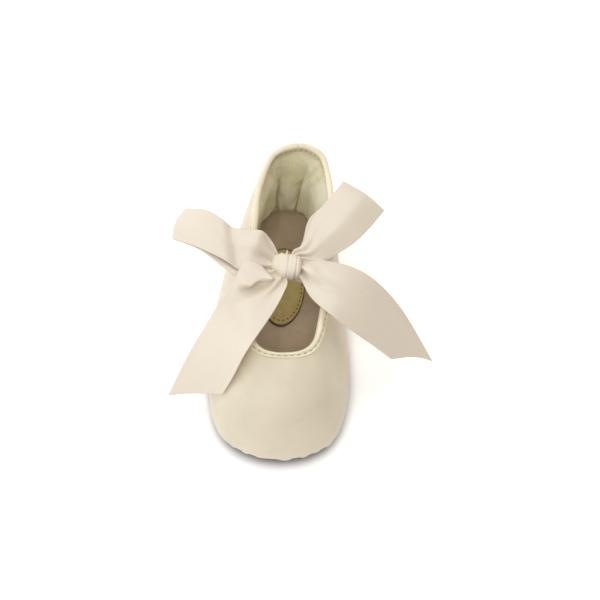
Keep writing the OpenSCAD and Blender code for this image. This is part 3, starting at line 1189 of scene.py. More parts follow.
@dataclass
class Upper:
    """The leather upper with its binding, back seam and stitches.

    Attributes:
        thickness: leather thickness.
        stitch_down: distance of the topstitch below the edge.
        stitches: number of stitches round the topline.
    """

    thickness: float = 0.9
    stitch_down: float = 1.65
    stitches: int = 92

    def puckers(self, a: Array, u: Array) -> Array:
        """Gathers where the toe leather is drawn in under the sole.

        Args:
            a: angles in degrees, 0 at the heel and 180 at the toe.
            u: heights, 0 at the margin's inner edge and 1 at the topline.

        Returns:
            Distance outward for each pair.
        """
        front = smooth((np.abs(from_heel(a)) - 95) / 45)
        fold = np.sin(np.radians(a) * 30 + 1.5 * np.sin(np.radians(a) * 7)) * (0.65 + 0.35 * np.sin(np.radians(a) * 11))
        pleat = -0.55 * np.abs(fold) ** 0.6 * np.sign(fold)
        return front * (pleat * bell(u, 0.32, 0.06) + 0.22 * fold * bell(u, 0.41, 0.06))

    def pulls(self, a: Array, u: Array) -> Array:
        """Small dents that the topstitching pulls in the leather below the binding."""
        return -0.1 * (0.5 + 0.5 * np.cos(np.radians(a) * self.stitches)) * bell(u, 0.93, 0.02)

    def leather(self) -> bpy.types.Object:
        """The one-piece upper with its margin turned under.

        Returns:
            The new object.
        """
        a = np.linspace(0, 360, 300, endpoint=False)
        margin, feather = np.linspace(0, 0.14, 8, endpoint=False), np.linspace(0.14, 0.34, 22, endpoint=False)
        u_out = np.concatenate([margin, feather, np.linspace(0.34, 1, 44)])
        u_in = np.linspace(1, 0, 30)
        rings = []
        for u in u_out:
            uu = np.full(a.shape, u)
            rings.append(LAST.skin(a, uu, self.puckers(a, uu) + self.pulls(a, uu)))
        for u in u_in:
            rings.append(LAST.skin(a, np.full(a.shape, u), -self.thickness))
        return settle(ring_mesh("leather_upper", rings), NAPPA.make(), SHOE, ["upper"])

    def binding(self) -> bpy.types.Object:
        """The folded binding: a full rolled edge with a pressed stitch groove.

        Returns:
            The new object.
        """
        a = LAST.even_angles(self.stitches * 8)
        beat = np.cos(np.arange(len(a)) * 2 * math.pi / 8)
        inner = -1.35  # the inner leg, measured from the leather's outer face
        profile = [
            (3.0, 0.05, 0.0), (3.02, 0.2, 0.0), (2.85, 0.34, 0.0), (2.5, 0.42, 0.2), (2.15, 0.36, 0.6),
            (1.85, 0.2, 1.0), (1.65, 0.13, 1.0), (1.45, 0.22, 0.9), (1.15, 0.42, 0.4), (0.8, 0.54, 0.1),
            (0.4, 0.56, 0.0), (0.0, 0.46, 0.0), (-0.32, 0.2, 0.0), (-0.52, -0.2, 0.0), (-0.6, inner / 2, 0.0),
            (-0.52, inner + 0.2, 0.0), (-0.32, inner - 0.2, 0.0), (0.0, inner - 0.42, 0.0), (0.4, inner - 0.5, 0.0),
            (0.8, inner - 0.46, 0.1), (1.15, inner - 0.4, 0.4), (1.45, inner - 0.31, 0.9), (1.65, inner - 0.27, 1.0),
            (1.85, inner - 0.31, 1.0), (2.15, inner - 0.36, 0.6), (2.6, inner - 0.4, 0.1), (2.95, inner - 0.28, 0.0),
            (3.0, inner - 0.05, 0.0), (1.5, inner - 0.04, 0.0), (-0.1, inner - 0.04, 0.0),
            (-0.14, inner / 2, 0.0), (-0.1, 0.04, 0.0), (1.5, 0.04, 0.0),
        ]  # fmt: skip
        swell = 0.08 * drift(np.linspace(0, 9, len(a)), 5)
        rings = []
        join = 0.3 * bell(from_heel(a), 0.0, 1.1)
        for down, d, pull in profile:
            side = np.sign(d - inner / 2)
            depth = d + side * (-0.13 * pull * (0.5 - 0.5 * beat) + swell - join) * (down > -0.12 or abs(d) > 0.1)
            rings.append(LAST.rim(a, down * self.depth_share(a) + join * (down < -0.2), depth))
        made = ring_mesh("topline_binding_tape", rings)
        return settle(made, BINDING.make(), SHOE, ["topline_binding"])

    def depth_share(self, a: Array) -> Array:
        """How deep the binding is round the edge: it is turned narrower over the instep."""
        return 1 - 0.42 * bell(np.abs(from_heel(a)), 180.0, 48.0)

    def topstitches(self) -> bpy.types.Object:
        """Stitches that lie in the binding's groove.

        Returns:
            The new object.
        """
        a = LAST.even_angles(self.stitches)
        b = np.append(a[1:], 360.0)
        down = self.stitch_down * self.depth_share(a)
        n = LAST.normal(a + (b - a) * 0.5, 1 - down * LAST.step_down(a))
        near, far = a + (b - a) * 0.26, a + (b - a) * 0.8
        outer = (LAST.rim(near, down, 0.3), LAST.rim(far, down, 0.3), n)
        inner = (LAST.rim(near, down, -1.74), LAST.rim(far, down, -1.74), -n)
        p, q, n = (np.concatenate(pair) for pair in zip(outer, inner))
        made = Stitches(radius=0.13, rise=0.08).run("topline_stitches", p, q, n)
        return settle(made, SEAM_THREAD.make(), SHOE, ["topline_stitching"])

    def back_seam(self) -> None:
        """The tape over the centre-back seam and its two rows of stitches."""
        u = np.linspace(0.27, 0.9, 40)
        across = [-3.1, -3.1, -2.9, -2.2, -1.6, -1.0, 0, 1.0, 1.6, 2.2, 2.9, 3.1, 3.1]
        rise = [0.05, 0.25, 0.4, 0.42, 0.34, 0.44, 0.5, 0.44, 0.34, 0.42, 0.4, 0.25, 0.05]
        per_deg = np.linalg.norm(LAST.curve(1.0, 0.6) - LAST.curve(-1.0, 0.6)) / 2
        rings = [LAST.skin(np.full(u.shape, x / per_deg), u, h) for x, h in zip(across, rise)]
        rings += [LAST.skin(np.full(u.shape, x / per_deg), u, 0.03) for x in (2.0, 0.0, -2.0)]
        grid = np.stack(rings)
        quads = lattice(len(rings), len(u), wrap_rows=True)
        caps = [list(range(0, len(rings) * len(u), len(u))), list(range(len(u) - 1, len(rings) * len(u), len(u)))]
        tape = make_mesh("centre_back_tape", grid.reshape(-1, 3), [list(q) for q in quads] + caps)
        settle(tape, BINDING.make(), SHOE, ["back_seam_tape"])
        k = np.linspace(0.285, 0.88, 15)
        rows = []
        for side in (-1.6, 1.6):
            x = np.full(len(k) - 1, side / per_deg)
            p = LAST.skin(x, k[:-1] + 0.006, 0.5)
            q = LAST.skin(x, k[1:] - 0.01, 0.5)
            rows.append((p, q, LAST.normal(x, (k[:-1] + k[1:]) / 2)))
        p, q, n = (np.concatenate([r[i] for r in rows]) for i in range(3))
        sewn = Stitches(radius=0.18, rise=0.12).run("back_seam_stitches", p, q, n)
        settle(sewn, SEAM_THREAD.make(), SHOE, ["back_seam_stitching"])

    def build(self) -> None:
        """Makes the leather pieces and their stitches."""
        self.leather()
        self.binding()
        self.topstitches()
        self.back_seam()


@dataclass
class Linings:
    """Towelling linings: thin in the vamp, padded and rucked round the heel.

    Attributes:
        lining_t: thickness of the cloth.
        pad_t: extra padding at its fullest.
        join: angle from the heel where the two linings meet.
        swell_cap: the furthest the simulation may move a point, in millimetres.
        swell_frames: how many frames it runs.
    """

    lining_t: float = 0.6
    pad_t: float = 2.0
    join: float = 91.5
    swell_cap: float = 2.4
    swell_frames: int = 20

    def layer(self, name: str, a: Array, u: Array, front: Array) -> bpy.types.Object:
        """A closed cloth layer between the wall and its visible face.

        Args:
            name: the object's name.
            a: angles, one column each.
            u: heights, one row each.
            front: grid of points of the visible face.

        Returns:
            The new object.
        """
        aa, uu = np.meshgrid(a, u)
        back = LAST.skin(aa, uu, -LAST.wall(uu) * (1 - self.lining_t / LAST.wall_t))
        arc = np.cumsum(np.linalg.norm(np.diff(front, axis=1, prepend=front[:, :1]), axis=-1), 1)
        rise = np.cumsum(np.linalg.norm(np.diff(front, axis=0, prepend=front[:1]), axis=-1), 0)
        return closed_cloth(name, front, back, np.column_stack([arc.ravel(), rise.ravel()]))

    def vamp(self) -> bpy.types.Object:
        """The front lining, a single stretched sheet.

        Returns:
            The new object.
        """
        a = np.linspace(self.join + 2, 360 - self.join - 2, 150)
        u = np.linspace(0.23, 0.985, 60)
        aa, uu = np.meshgrid(a, u)
        front = LAST.skin(aa, uu, -LAST.wall(uu) - 0.1 * np.sin(np.radians(aa) * 9 + uu * 8))
        made = self.layer("towelling_vamp_lining", a, u, front)
        settle(made, TOWEL.make(), SHOE, ["vamp_lining"])
        return made

    def padding(self, a: Array, u: Array) -> Array:
        """Depth of the heel lining's visible face, with its vertical rucks.

        Args:
            a: angles in degrees, 0 at the heel and 180 at the toe.
            u: heights, 0 at the margin's inner edge and 1 at the topline.

        Returns:
            Distance inward from the last's surface for each pair.
        """
        turn = np.abs(a) / self.join
        along = (u - 0.22) / 0.76
        body = smooth((1 - turn) * 2.2) * smooth(along * 3) * smooth((1 - along) * 3.2 - 0.3)
        depth = self.pad_t * body * (0.9 + 0.15 * np.sin(a * 0.11 + 1.0))
        low = smooth((0.9 - along) * 2.2)
        rucks = [
            (17.0, 3.0, 2.4, 5.0), (-19.0, 3.2, 2.2, -7.0), (46.0, 4.5, 0.9, 4.0), (-50.0, 5.0, 0.9, 3.0),
            (-2.0, 5.5, 0.5, 2.0),
        ]  # fmt: skip
        for place, width, cut, lean in rucks:
            middle = place + lean * (along - 0.5)
            depth = depth - cut * body * low * bell(a, middle, width)
            depth = depth + 0.35 * cut * body * low * bell(a, middle + 2.1 * width, 1.3 * width)
        ripple = 0.1 * np.sin(along * 22 + a * 0.3) * body
        return LAST.wall(u) + np.maximum(depth, -0.35) + ripple

    def held(self, a: Array, u: Array) -> Array:
        """Where the heel lining is fixed: its border and two tacked folds, as 0 or 1.

        Args:
            a: grid of angles.
            u: grid of heights.

        Returns:
            A grid of weights.
        """
        pin = np.zeros(a.shape)
        pin[0], pin[:, 0], pin[:, -1] = 1, 1, 1
        pin[u > 0.915] = 1
        along = (u - 0.22) / 0.765
        for place, lean, top in ((17.0, 5.0, 0.74), (-19.0, -7.0, 0.82)):
            near = np.abs(a - place - lean * (along - 0.5)) < 0.9
            pin[near & (along < top)] = 1
        return pin

    def swell(self, front: Array, pin: Array, inward: Array) -> Array:
        """Blows the lining's face up with a cloth simulation.

        Args:
            front: grid of points in millimetres.
            pin: grid of weights, 1 where the cloth is fixed.
            inward: grid of directions into the shoe.

        Returns:
            The new grid of points.
        """
        rows, cols = pin.shape
        grow = 10.0  # the solver works best on a cloth of about a metre
        mesh = bpy.data.meshes.new("lining_trial")
        quads = lattice(rows, cols)
        mesh.from_pydata((front.reshape(-1, 3) * MM * grow).tolist(), [], quads.tolist())
        mesh.update()
        middle = mesh.polygons[(rows // 2) * (cols - 1) + cols // 2].normal
        if np.dot(np.array(middle), inward[rows // 2, cols // 2]) < 0:
            mesh.flip_normals()
        trial = bpy.data.objects.new("lining_trial", mesh)
        scene = bpy.context.scene
        scene.collection.objects.link(trial)
        group = trial.vertex_groups.new(name="held")
        group.add(np.flatnonzero(pin.ravel() > 0.5).tolist(), 1.0, "REPLACE")
        cloth = trial.modifiers.new("cloth", "CLOTH")
        towelling = {
            "quality": 6, "mass": 0.2, "tension_stiffness": 12, "compression_stiffness": 8, "shear_stiffness": 4,
            "bending_stiffness": 0.6, "air_damping": 1.5, "shrink_min": -0.015, "use_pressure": True,
            "uniform_pressure_force": 4.5, "vertex_group_mass": "held",
        }  # fmt: skip
        for key, value in towelling.items():
            setattr(cloth.settings, key, value)
        cloth.settings.effector_weights.gravity = 0.0
        cloth.point_cache.frame_start, cloth.point_cache.frame_end = 1, self.swell_frames
        for frame_number in range(1, self.swell_frames + 1):
            scene.frame_set(frame_number)
        blown = trial.evaluated_get(bpy.context.evaluated_depsgraph_get())
        co = np.zeros(rows * cols * 3)
        blown.data.vertices.foreach_get("co", co)
        scene.frame_set(1)
        bpy.data.objects.remove(trial)
        bpy.data.meshes.remove(mesh)
        move = co.reshape(rows, cols, 3) / (MM * grow) - front
        if not np.isfinite(move).all():
            return front
        size = np.linalg.norm(move, axis=-1, keepdims=True)
        LOG.info("lining swelled by up to %.2f mm, %.2f mm on average", size.max(), size.mean())
        return front + move * (self.swell_cap / np.maximum(size, self.swell_cap))

    def quarter(self) -> bpy.types.Object:
        """The padded heel and side lining.

        Returns:
            The new object.
        """
        a = np.linspace(-self.join + 1.5, self.join - 1.5, 131)
        u = np.linspace(0.22, 0.985, 52)
        aa, uu = np.meshgrid(a, u)
        front = LAST.skin(aa, uu, -self.padding(aa, uu))
        front = self.swell(front, self.held(aa, uu), -LAST.normal(aa, uu))
        made = self.layer("padded_quarter_lining", a, u, front)
        smoother = made.modifiers.new("subdivision", "SUBSURF")
        smoother.levels = smoother.render_levels = 1
        settle(made, TOWEL.make(), SHOE, ["quarter_lining"])
        return made

    def build(self) -> None:
        """Makes both linings."""
        self.vamp()
        self.quarter()


# --------------------------------------------------------------------------- the bow


KNOT = np.array([1.2, 0.5, 38.79])


class Ply(Enum):
    """How a ribbon of the bow is laid."""

    TAIL = "tail"
    LOOP = "loop"


@dataclass
class Ribbon:
    """One swinging ribbon of the bow, described by pairs of edge points.

    Attributes:
        name: the object's name.
        node: the CAD node and body it belongs to.
        ply: a hanging tail or a folded loop.
        stations: edge pairs measured from the knot, root first.
        length: flat length of ribbon used.
        folds: number of gathers where it enters the knot.
        phase: where across the ribbon the gathers start.
        relief: extra height by position along and across, in millimetres.
        cut: how the cut end runs, by position across, in stations.
        width, thickness: of the ribbon.
        loop_open: how far a loop's plies stand apart at its fold.
        root_gap: distance from the knot's middle to the first stations.
        stagger: how far a loop's under ply slips sideways near the knot.
        spread: where a point of the ribbon lies across it once it has spread or folded over.
    """

    name: str
    node: str
    ply: Ply
    stations: Sequence[Sequence[Sequence[float]]]
    length: float
    folds: float = 2.5
    phase: float = 0.0
    relief: Callable[[Array, Array], Array] = lambda x, w: 0 * x * w
    cut: Callable[[Array], Array] = lambda w: 0 * w
    width: float = 19.0
    thickness: float = 0.4
    loop_open: float = 2.6
    root_gap: float = 5.9
    stagger: float = 0.0
    spread: Callable[[Array, Array], Array] = lambda x, w: w + 0 * x

    def placed(self) -> Array:
        """Stations in the shoe's frame, with one more inside the knot.

        Returns:
            An array of station, edge, coordinate.
        """
        pairs = np.array(self.stations, float)
        middle = pairs[0].mean(0)
        reach = np.hypot(middle[0], middle[1])
        pairs[0, :, :2] += middle[:2] * (self.root_gap / reach - 1)
        inner = pairs[0] * np.array([0.5, 0.5, 0.8])
        return np.concatenate([inner[None], pairs]) + KNOT

    def rail(self, st: Array, e: int, x: Array) -> Array:
        """A smooth edge through the stations.

        Args:
            st: placed stations.
            e: which edge.
            x: station numbers, any shape.

        Returns:
            One point for each x.
        """
        p = np.concatenate([[2 * st[0, e] - st[1, e]], st[:, e], [2 * st[-1, e] - st[-2, e]]])
        s = np.clip(np.floor(x).astype(int), 0, len(st) - 2)
        w = (x - s)[..., None]
        a, b, c, d = (p[s + k] for k in range(4))
        return 0.5 * (2 * b + (c - a) * w + (2 * a - 5 * b + 4 * c - d) * w**2 + (3 * b - a - 3 * c + d) * w**3)

    def spot(self, st: Array, x: Array, w: Array, h: Array) -> Array:
        """Points on the ribbon.

        Args:
            st: placed stations.
            x: station number.
            w: position across, 1 at the first edge and -1 at the second.
            h: height above the ribbon's middle surface.

        Returns:
            One point for each place.
        """
        x, w, h = np.broadcast_arrays(x, w, h)
        a, b = self.rail(st, 0, x), self.rail(st, 1, x)
        lo, hi = x - 0.05, x + 0.05
        run = self.rail(st, 0, hi) + self.rail(st, 1, hi) - self.rail(st, 0, lo) - self.rail(st, 1, lo)
        face = unit(np.cross(run, a - b))
        side = (-1.0 if (face[..., 2].mean() < 0) else 1.0) * face
        return (a + b) / 2 + (a - b) / 2 * w[..., None] + side * h[..., None]

    def gathers(self, st: Array, x: Array, w: Array) -> Array:
        """Height of the pleats that take up the ribbon's spare width.

        Args:
            st: placed stations.
            x: station number.
            w: position across.

        Returns:
            Height above the middle surface.
        """
        wide = np.linalg.norm(self.rail(st, 0, x) - self.rail(st, 1, x), axis=-1)
        spare = np.sqrt(np.clip(self.width - wide, 0, None) * wide)
        t = math.pi * self.folds * w + self.phase
        wave = np.sin(t + 0.55 * np.sin(t)) * (0.75 + 0.25 * np.cos(1.7 * w + self.phase))
        return 0.22 * spare / self.folds * wave * smooth(x * 1.1 + 0.15) * (1 - 0.96 * smooth((x - 1.15) / 1.5))

    def height(self, st: Array, x: Array, w: Array) -> Array:
        """Gathers, relief and the slight curl of the selvedges."""
        return self.gathers(st, x, w) + self.relief(x - 1, w)

    def tail(self) -> bpy.types.Object:
        """A single ply from the knot to its cut end.

        Returns:
            The new object.
        """
        st = self.placed()
        last = len(st) - 1
        w = np.linspace(-1, 1, 61)
        t = np.linspace(0, 1, 150)
        ww, tt = np.meshgrid(w, t)
        xx = tt * (last + self.cut(ww))
        h = self.height(st, xx, ww)
        uv_across = (ww + 1) * self.width / 2
        ww = self.spread(xx - 1, ww)
        half = self.thickness / 2 * np.ones_like(h)
        front = self.spot(st, xx, ww, h + half)
        back = self.spot(st, xx, ww, h - half)
        uv = np.column_stack([(tt * self.length).ravel(), uv_across.ravel()])
        return closed_cloth(self.name, front, back, uv)

    def loop(self) -> bpy.types.Object:
        """A band that runs out, folds over softly and comes back.

        Returns:
            The new object.
        """
        st = self.placed()
        last = len(st) - 1
        w = np.linspace(-1, 1, 45)
        k = np.linspace(0, 2 * math.pi, 220, endpoint=False)
        ww, kk = np.meshgrid(w, k)
        s, c = np.sin(kk), np.cos(kk)
        xx = (last + self.cut(ww)) * (1 - c) / 2
        grow = 0.3 + (self.loop_open - 0.3) * smooth((1 - c) * 0.75)
        swell = np.sign(s) * np.abs(s) ** 0.62 * grow * (0.22 + 0.78 * smooth((ww + 1.0) * 0.9))
        top = smooth(s * 3 + 0.5)
        ww = ww + self.stagger * (1 - top) * bell(xx, 2.3, 1.0)
        h = self.height(st, xx, ww) * (0.55 + 0.45 * top) + swell
        ww = self.spread(xx - 1, ww)
        middle = self.spot(st, xx, ww, h)
        run = np.roll(middle, -1, 0) - np.roll(middle, 1, 0)
        side = np.gradient(middle, axis=1)
        off = unit(np.cross(run, side)) * self.thickness / 2
        front, back = middle + off, middle - off
        uv = np.column_stack([(kk / (2 * math.pi) * self.length).ravel(), ((ww + 1) * self.width / 2).ravel()])
        rows, cols = ww.shape
        grid = lattice(rows, cols, wrap_rows=True)
        shift = rows * cols
        faces = grid.tolist() + [f[::-1] for f in (grid + shift).tolist()]
        for j in (0, cols - 1):
            for i in range(rows):
                p, q = i * cols + j, ((i + 1) % rows) * cols + j
                rim = [p, q, q + shift, p + shift]
                faces.append(rim if j else rim[::-1])
        points = np.concatenate([front.reshape(-1, 3), back.reshape(-1, 3)])
        return make_mesh(self.name, points, faces, uv=np.vstack([uv, uv]))

    def build(self) -> bpy.types.Object:
        """Returns:
            The new object.
        """
        made = self.tail() if self.ply is Ply.TAIL else self.loop()
        settle(made, SATIN.make(), None, [self.node])
        st = self.placed()
        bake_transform(made)
        return made


def closed_cloth(name: str, front: Array, back: Array, uv: Array) -> bpy.types.Object:
    """A thin closed sheet from two grids of points.

    Args:
        name: the object's name.
        front: grid of points of the upper face.
        back: the same of the lower face.
        uv: one row for each point of a grid.

    Returns:
        The new object.
    """
    rows, cols = front.shape[:2]
    grid = lattice(rows, cols)
    shift = rows * cols
    border = list(range(cols)) + [i * cols + cols - 1 for i in range(1, rows)]
    border += [(rows - 1) * cols + j for j in range(cols - 2, -1, -1)] + [i * cols for i in range(rows - 2, 0, -1)]
    ahead = border[1:] + border[:1]
    sides = [[p, q, q + shift, p + shift] for p, q in zip(border, ahead)]
    faces = grid.tolist() + [f[::-1] for f in (grid + shift).tolist()] + sides
    points = np.concatenate([front.reshape(-1, 3), back.reshape(-1, 3)])
    return make_mesh(name, points, faces, uv=np.vstack([uv, uv]))


@dataclass
class Strap:
    """A tie sewn inside the wall that runs over to the underside of the knot.

    Attributes:
        name: the object's name.
        node: the CAD node it replaces.
        angle: where it is sewn.
        side: 1 for the right, -1 for the left.
        width, thickness, length: of the ribbon it is cut from.
    """

    name: str
    node: str
    angle: float
    side: float
    width: float = 19.0
    thickness: float = 0.4
    length: float = 22.0

    def stations(self) -> Array:
        """Edge pairs from the sewn end to the knot.

        Returns:
            An array of station, edge, coordinate.
        """
        d = -LAST.wall_t - 0.45 - 0.1 - self.thickness / 2 - 0.1
        z = KNOT[2] - 3.1 - 0.05 - self.thickness / 2
        per_deg = np.linalg.norm(LAST.curve(self.angle + 3, 1.0) - LAST.curve(self.angle - 3, 1.0)) / 6
        spread = self.width / 2 / per_deg

        def sewn(down: float, e: float) -> Array:
            """A point of edge e inside the wall, down from the rim."""
            a = self.angle - self.side * e * spread
            return LAST.rim(np.array(a), np.array(down), d - (0.6 if down < 3 else 0.0))

        def near(x: float, y: float, dz: float) -> Array:
            """A point under the knot."""
            return np.array([KNOT[0] + self.side * x, KNOT[1] + y, z + dz])

        pairs = [[sewn(h, e), sewn(h, -e)] for h, e in ((9.0, 1.0), (5.0, 1.0), (1.2, 0.95))]
        pairs += [[near(x, y, dz), near(x, -y, dz)] for x, y, dz in ((10, 6.5, 0.3), (5, 3.6, 0.0), (0.4, 3.0, 0.0))]
        return np.array(pairs)

    def build(self) -> bpy.types.Object:
        """Makes the tie with gathers that tighten toward the knot.

        Returns:
            The new object.
        """
        ribbon = Ribbon(self.name, self.node, Ply.TAIL, [], self.length, width=self.width)
        st = self.stations()
        w, t = np.meshgrid(np.linspace(-1, 1, 41), np.linspace(0, len(st) - 1, 90))
        tight = smooth((t - 2.2) / 1.6) * smooth((5.3 - t) * 1.4)
        h = 0.5 * tight * np.sin(w * 9.5 + 0.6 * self.side) + 0.1 * np.sin(w * 5 + t) * smooth(t - 1.8)
        front = ribbon.spot(st, t, w, h + self.thickness / 2)
        back = ribbon.spot(st, t, w, h - self.thickness / 2)
        uv = np.column_stack([(t * self.length / 5).ravel(), ((w + 1) * self.width / 2).ravel()])
        made = closed_cloth(self.name, front, back, uv)
        settle(made, SATIN.make(), SHOE, [self.node])
        return made


@dataclass
class Knot:
    """The wrapped knot at the middle of the bow.

    Attributes:
        half: half length across the shoe.
        deep: half depth fore and aft.
        tall: half height.
    """

    half: float = 5.3
    deep: float = 4.7
    tall: float = 3.3

    def build(self) -> bpy.types.Object:
        """A flattened barrel of gathered ribbon with pinched ends.

        Returns:
            The new object.
        """
        s = np.linspace(-1, 1, 81)
        t = np.linspace(0, 2 * math.pi, 128, endpoint=False)
        tt, ss = np.meshgrid(t, s)
        lean = 0.22 * np.sin(tt)
        crease = (
            -0.7 * bell(ss, 0.04 + lean * 0.4, 0.035)
            - 0.6 * bell(ss, 0.62 + lean * 0.25, 0.035)
            - 0.3 * bell(ss, -0.62 + lean * 0.9, 0.16)
        )
        puff = 0.07 * np.cos((ss - 0.33) * 9.0) + 0.3 * bell(ss, 0.12, 0.05) + 0.05 * np.sin(ss * 17 + 2 * tt)
        body = 1 - np.where(ss > 0, 0.08, 0.4) * np.abs(ss) ** 1.7
        ends = np.sqrt(np.clip(1 - (np.abs(ss) ** 10) * 0.8, 0, 1))
        peak = 1.7 * bell(ss, 0.0, 0.08) * bell(tt, 0.62, 0.5) + 0.5 * bell(ss, -0.45, 0.25) * bell(tt, 0.5, 0.6)
        r = ends * body
        fore, up = (np.sign(f) * np.abs(f) ** 0.75 for f in (np.cos(tt), np.sin(tt)))
        lean_back = 1.2 * smooth(-ss)
        y = self.deep * r * fore + (crease + puff + peak) * np.cos(tt) * ends + lean_back
        z = self.tall * r * up + (crease + puff + peak) * np.sin(tt) * ends * 0.8
        x = self.half * (ss + 0.04 * np.sin(tt + 1))
        points = np.stack([x, y, z], -1) + KNOT
        rows, cols = ss.shape
        faces = lattice(rows, cols, wrap_cols=True).tolist()
        faces += [list(range(cols))[::-1], list(range((rows - 1) * cols, rows * cols))]
        uv = np.column_stack([(tt * 4.0).ravel(), ((ss + 1) * 9.5).ravel()])
        made = make_mesh("bow_knot_wrap", points.reshape(-1, 3), faces, uv=uv)
        return settle(made, SATIN.make(), SHOE, ["bow_knot"])


@dataclass
class Bow:
    """Loops, tails, knot, ties and the stitches that anchor them.

    Attributes:
        knot: the wrapped knot.
    """

    knot: Knot = field(default_factory=Knot)

    def ribbons(self) -> list[Ribbon]:
        """The four swinging ribbons.

        Returns:
            Tails first, then loops.
        """
        tail_right = [
            [[6.4, 2.4, 1.1], [5.8, -5.0, -0.6]],
            [[11.0, 1.6, 2.6], [9.3, -12.2, -1.2]],
            [[22.2, 0, 1.3], [16.7, -18.4, -2.6]],
            [[31.9, -2.6, -4.2], [24.9, -21.1, -8.7]],
            [[42.0, -6.5, -16.2], [31.5, -22.1, -15.2]],
            [[53.4, -16.9, -32.2], [37.9, -22.9, -21.7]],
        ]
        tail_left = [
            [[-5.8, -1.5, 0.7], [0.9, -7.1, -0.6]],
            [[-13.4, -3.2, 1.3], [-2.9, -16.1, -1.7]],
            [[-20.6, -11.4, -1.7], [-8.5, -26.5, -2.7]],
            [[-26.5, -20.0, -7.2], [-12.3, -33.1, -4.6]],
            [[-32.6, -27.8, -15.2], [-16.2, -38.1, -10.9]],
            [[-39.7, -37.3, -27.2], [-20.1, -41.0, -18.3]],
        ]
        loop_right = [
            [[3.0, 6.4, 1.2], [5.8, 3.2, 1.2]],
            [[6.0, 7.4, 3.8], [12.2, 2.7, 2.1]],
            [[9.5, 13.5, 9.8], [21.6, 5.7, 6.3]],
            [[14.5, 19.0, 13.8], [27.6, 10.7, 9.3]],
            [[19.4, 27.3, 13.8], [33.3, 19.7, 8.8]],
        ]
        loop_left = [
            [[-4.0, 6.6, 0.8], [-6.2, -2.0, 0.2]],
            [[-9.0, 10.6, 3.4], [-13.1, -3.9, 1.8]],
            [[-18.5, 11.6, 5.2], [-23.9, 0.6, 3.8]],
            [[-27.8, 18.0, 5.6], [-31.7, 5.0, 3.3]],
            [[-37.3, 22.2, 1.8], [-40.9, 10.9, -0.2]],
        ]
        return [
            Ribbon(
                "ribbon_tail_right", "bow_tail_right", Ply.TAIL, tail_right, 58.0, folds=2.0, phase=0.4,
                relief=self.right_tail_relief, cut=lambda w: -0.1 * (1 - w**2),
                spread=lambda x, w: w * (1 + 0.18 * bell(x, 0.6, 0.5) * (w > 0)),
            ),
            Ribbon(
                "ribbon_tail_left", "bow_tail_left", Ply.TAIL, tail_left, 56.0, folds=2.0, phase=2.2,
                relief=self.left_tail_relief, cut=lambda w: -0.04 * (1 - w**2),
                spread=self.left_tail_spread,
            ),
            Ribbon(
                "ribbon_loop_right", "bow_loop_right", Ply.LOOP, loop_right, 72.0, stagger=0.36, folds=2.5, phase=1.0,
                relief=self.right_loop_relief, cut=lambda w: 0.04 * np.cos(w * 2),
                spread=lambda x, w: w * (1 + 0.5 * bell(x, 0.75, 0.6) * (w < 0) + 0.06 * smooth(x - 1)),
            ),
            Ribbon(
                "ribbon_loop_left", "bow_loop_left", Ply.LOOP, loop_left, 80.0, folds=2.5, phase=-0.6,
                relief=self.left_loop_relief, cut=lambda w: 0.03 - 0.04 * w * w, stagger=-0.38,
            ),
        ]  # fmt: skip

    def right_tail_relief(self, x: Array, w: Array) -> Array:
        """A soft ridge from the knot that fades, and lightly curled selvedges.

        Args:
            x: distance from the knot, in stations.
            w: position across, 1 at the first edge and -1 at the second.

        Returns:
            Height in millimetres.
        """
        ridge = 1.1 * bell(w, 0.35 - 0.15 * x, 0.3) * bell(x, 0.9, 0.7)
        hollow = -0.7 * bell(w, -0.25, 0.35) * bell(x, 1.5, 0.9)
        return ridge + hollow + 0.35 * w**4 * smooth(x - 0.8) + 0.2 * np.sin(x * 2.4 + w * 1.6)

    def left_tail_relief(self, x: Array, w: Array) -> Array:
        """A soft pad along the upper edge that steps down to a hollow beside it.

        Args:
            x: distance from the knot, in stations.
            w: position across, 1 at the first edge and -1 at the second.

        Returns:
            Height in millimetres.
        """
        out = smooth((1.7 - x) * 2.6) * smooth(x * 2.4)
        edge = 0.02 + 0.42 * x
        pad = 2.7 * smooth((w - edge) * 4.5 + 0.5) * (1 - 0.45 * smooth((w - edge - 0.45) * 2.2)) * out
        hollow = -1.5 * bell(w, edge - 0.3, 0.24) * bell(x, 1.15, 0.7) - 0.9 * bell(x, 1.95, 0.35) * smooth(w + 0.7)
        return pad + hollow + 0.3 * w**4 * smooth(x - 1.2) + 0.18 * np.sin(x * 2.1 - w * 1.4)

    def left_tail_spread(self, x: Array, w: Array) -> Array:
        """The upper edge reaches up beside the knot and its roll laps over the hollow.

        Args:
            x: distance from the knot, in stations.
            w: position across, 1 at the first edge and -1 at the second.

        Returns:
            The new position across.
        """
        reach = w * (1 + 0.45 * bell(x, 0.7, 0.5) * (w > 0))
        lap = 0.42 * bell(w, 0.12 + 0.42 * x, 0.15) * smooth((1.55 - x) * 3.0) * smooth(x * 2.0)
        return reach - lap

    def right_loop_relief(self, x: Array, w: Array) -> Array:
        """A crease that runs from the knot toward the fold."""
        crease = -0.8 * bell(w, 0.1 + 0.25 * x, 0.2) * bell(x, 0.9, 0.6)
        return crease + 0.8 * (1 - w**2) * smooth(x * 0.7) + 0.12 * np.sin(w * 3 + x)

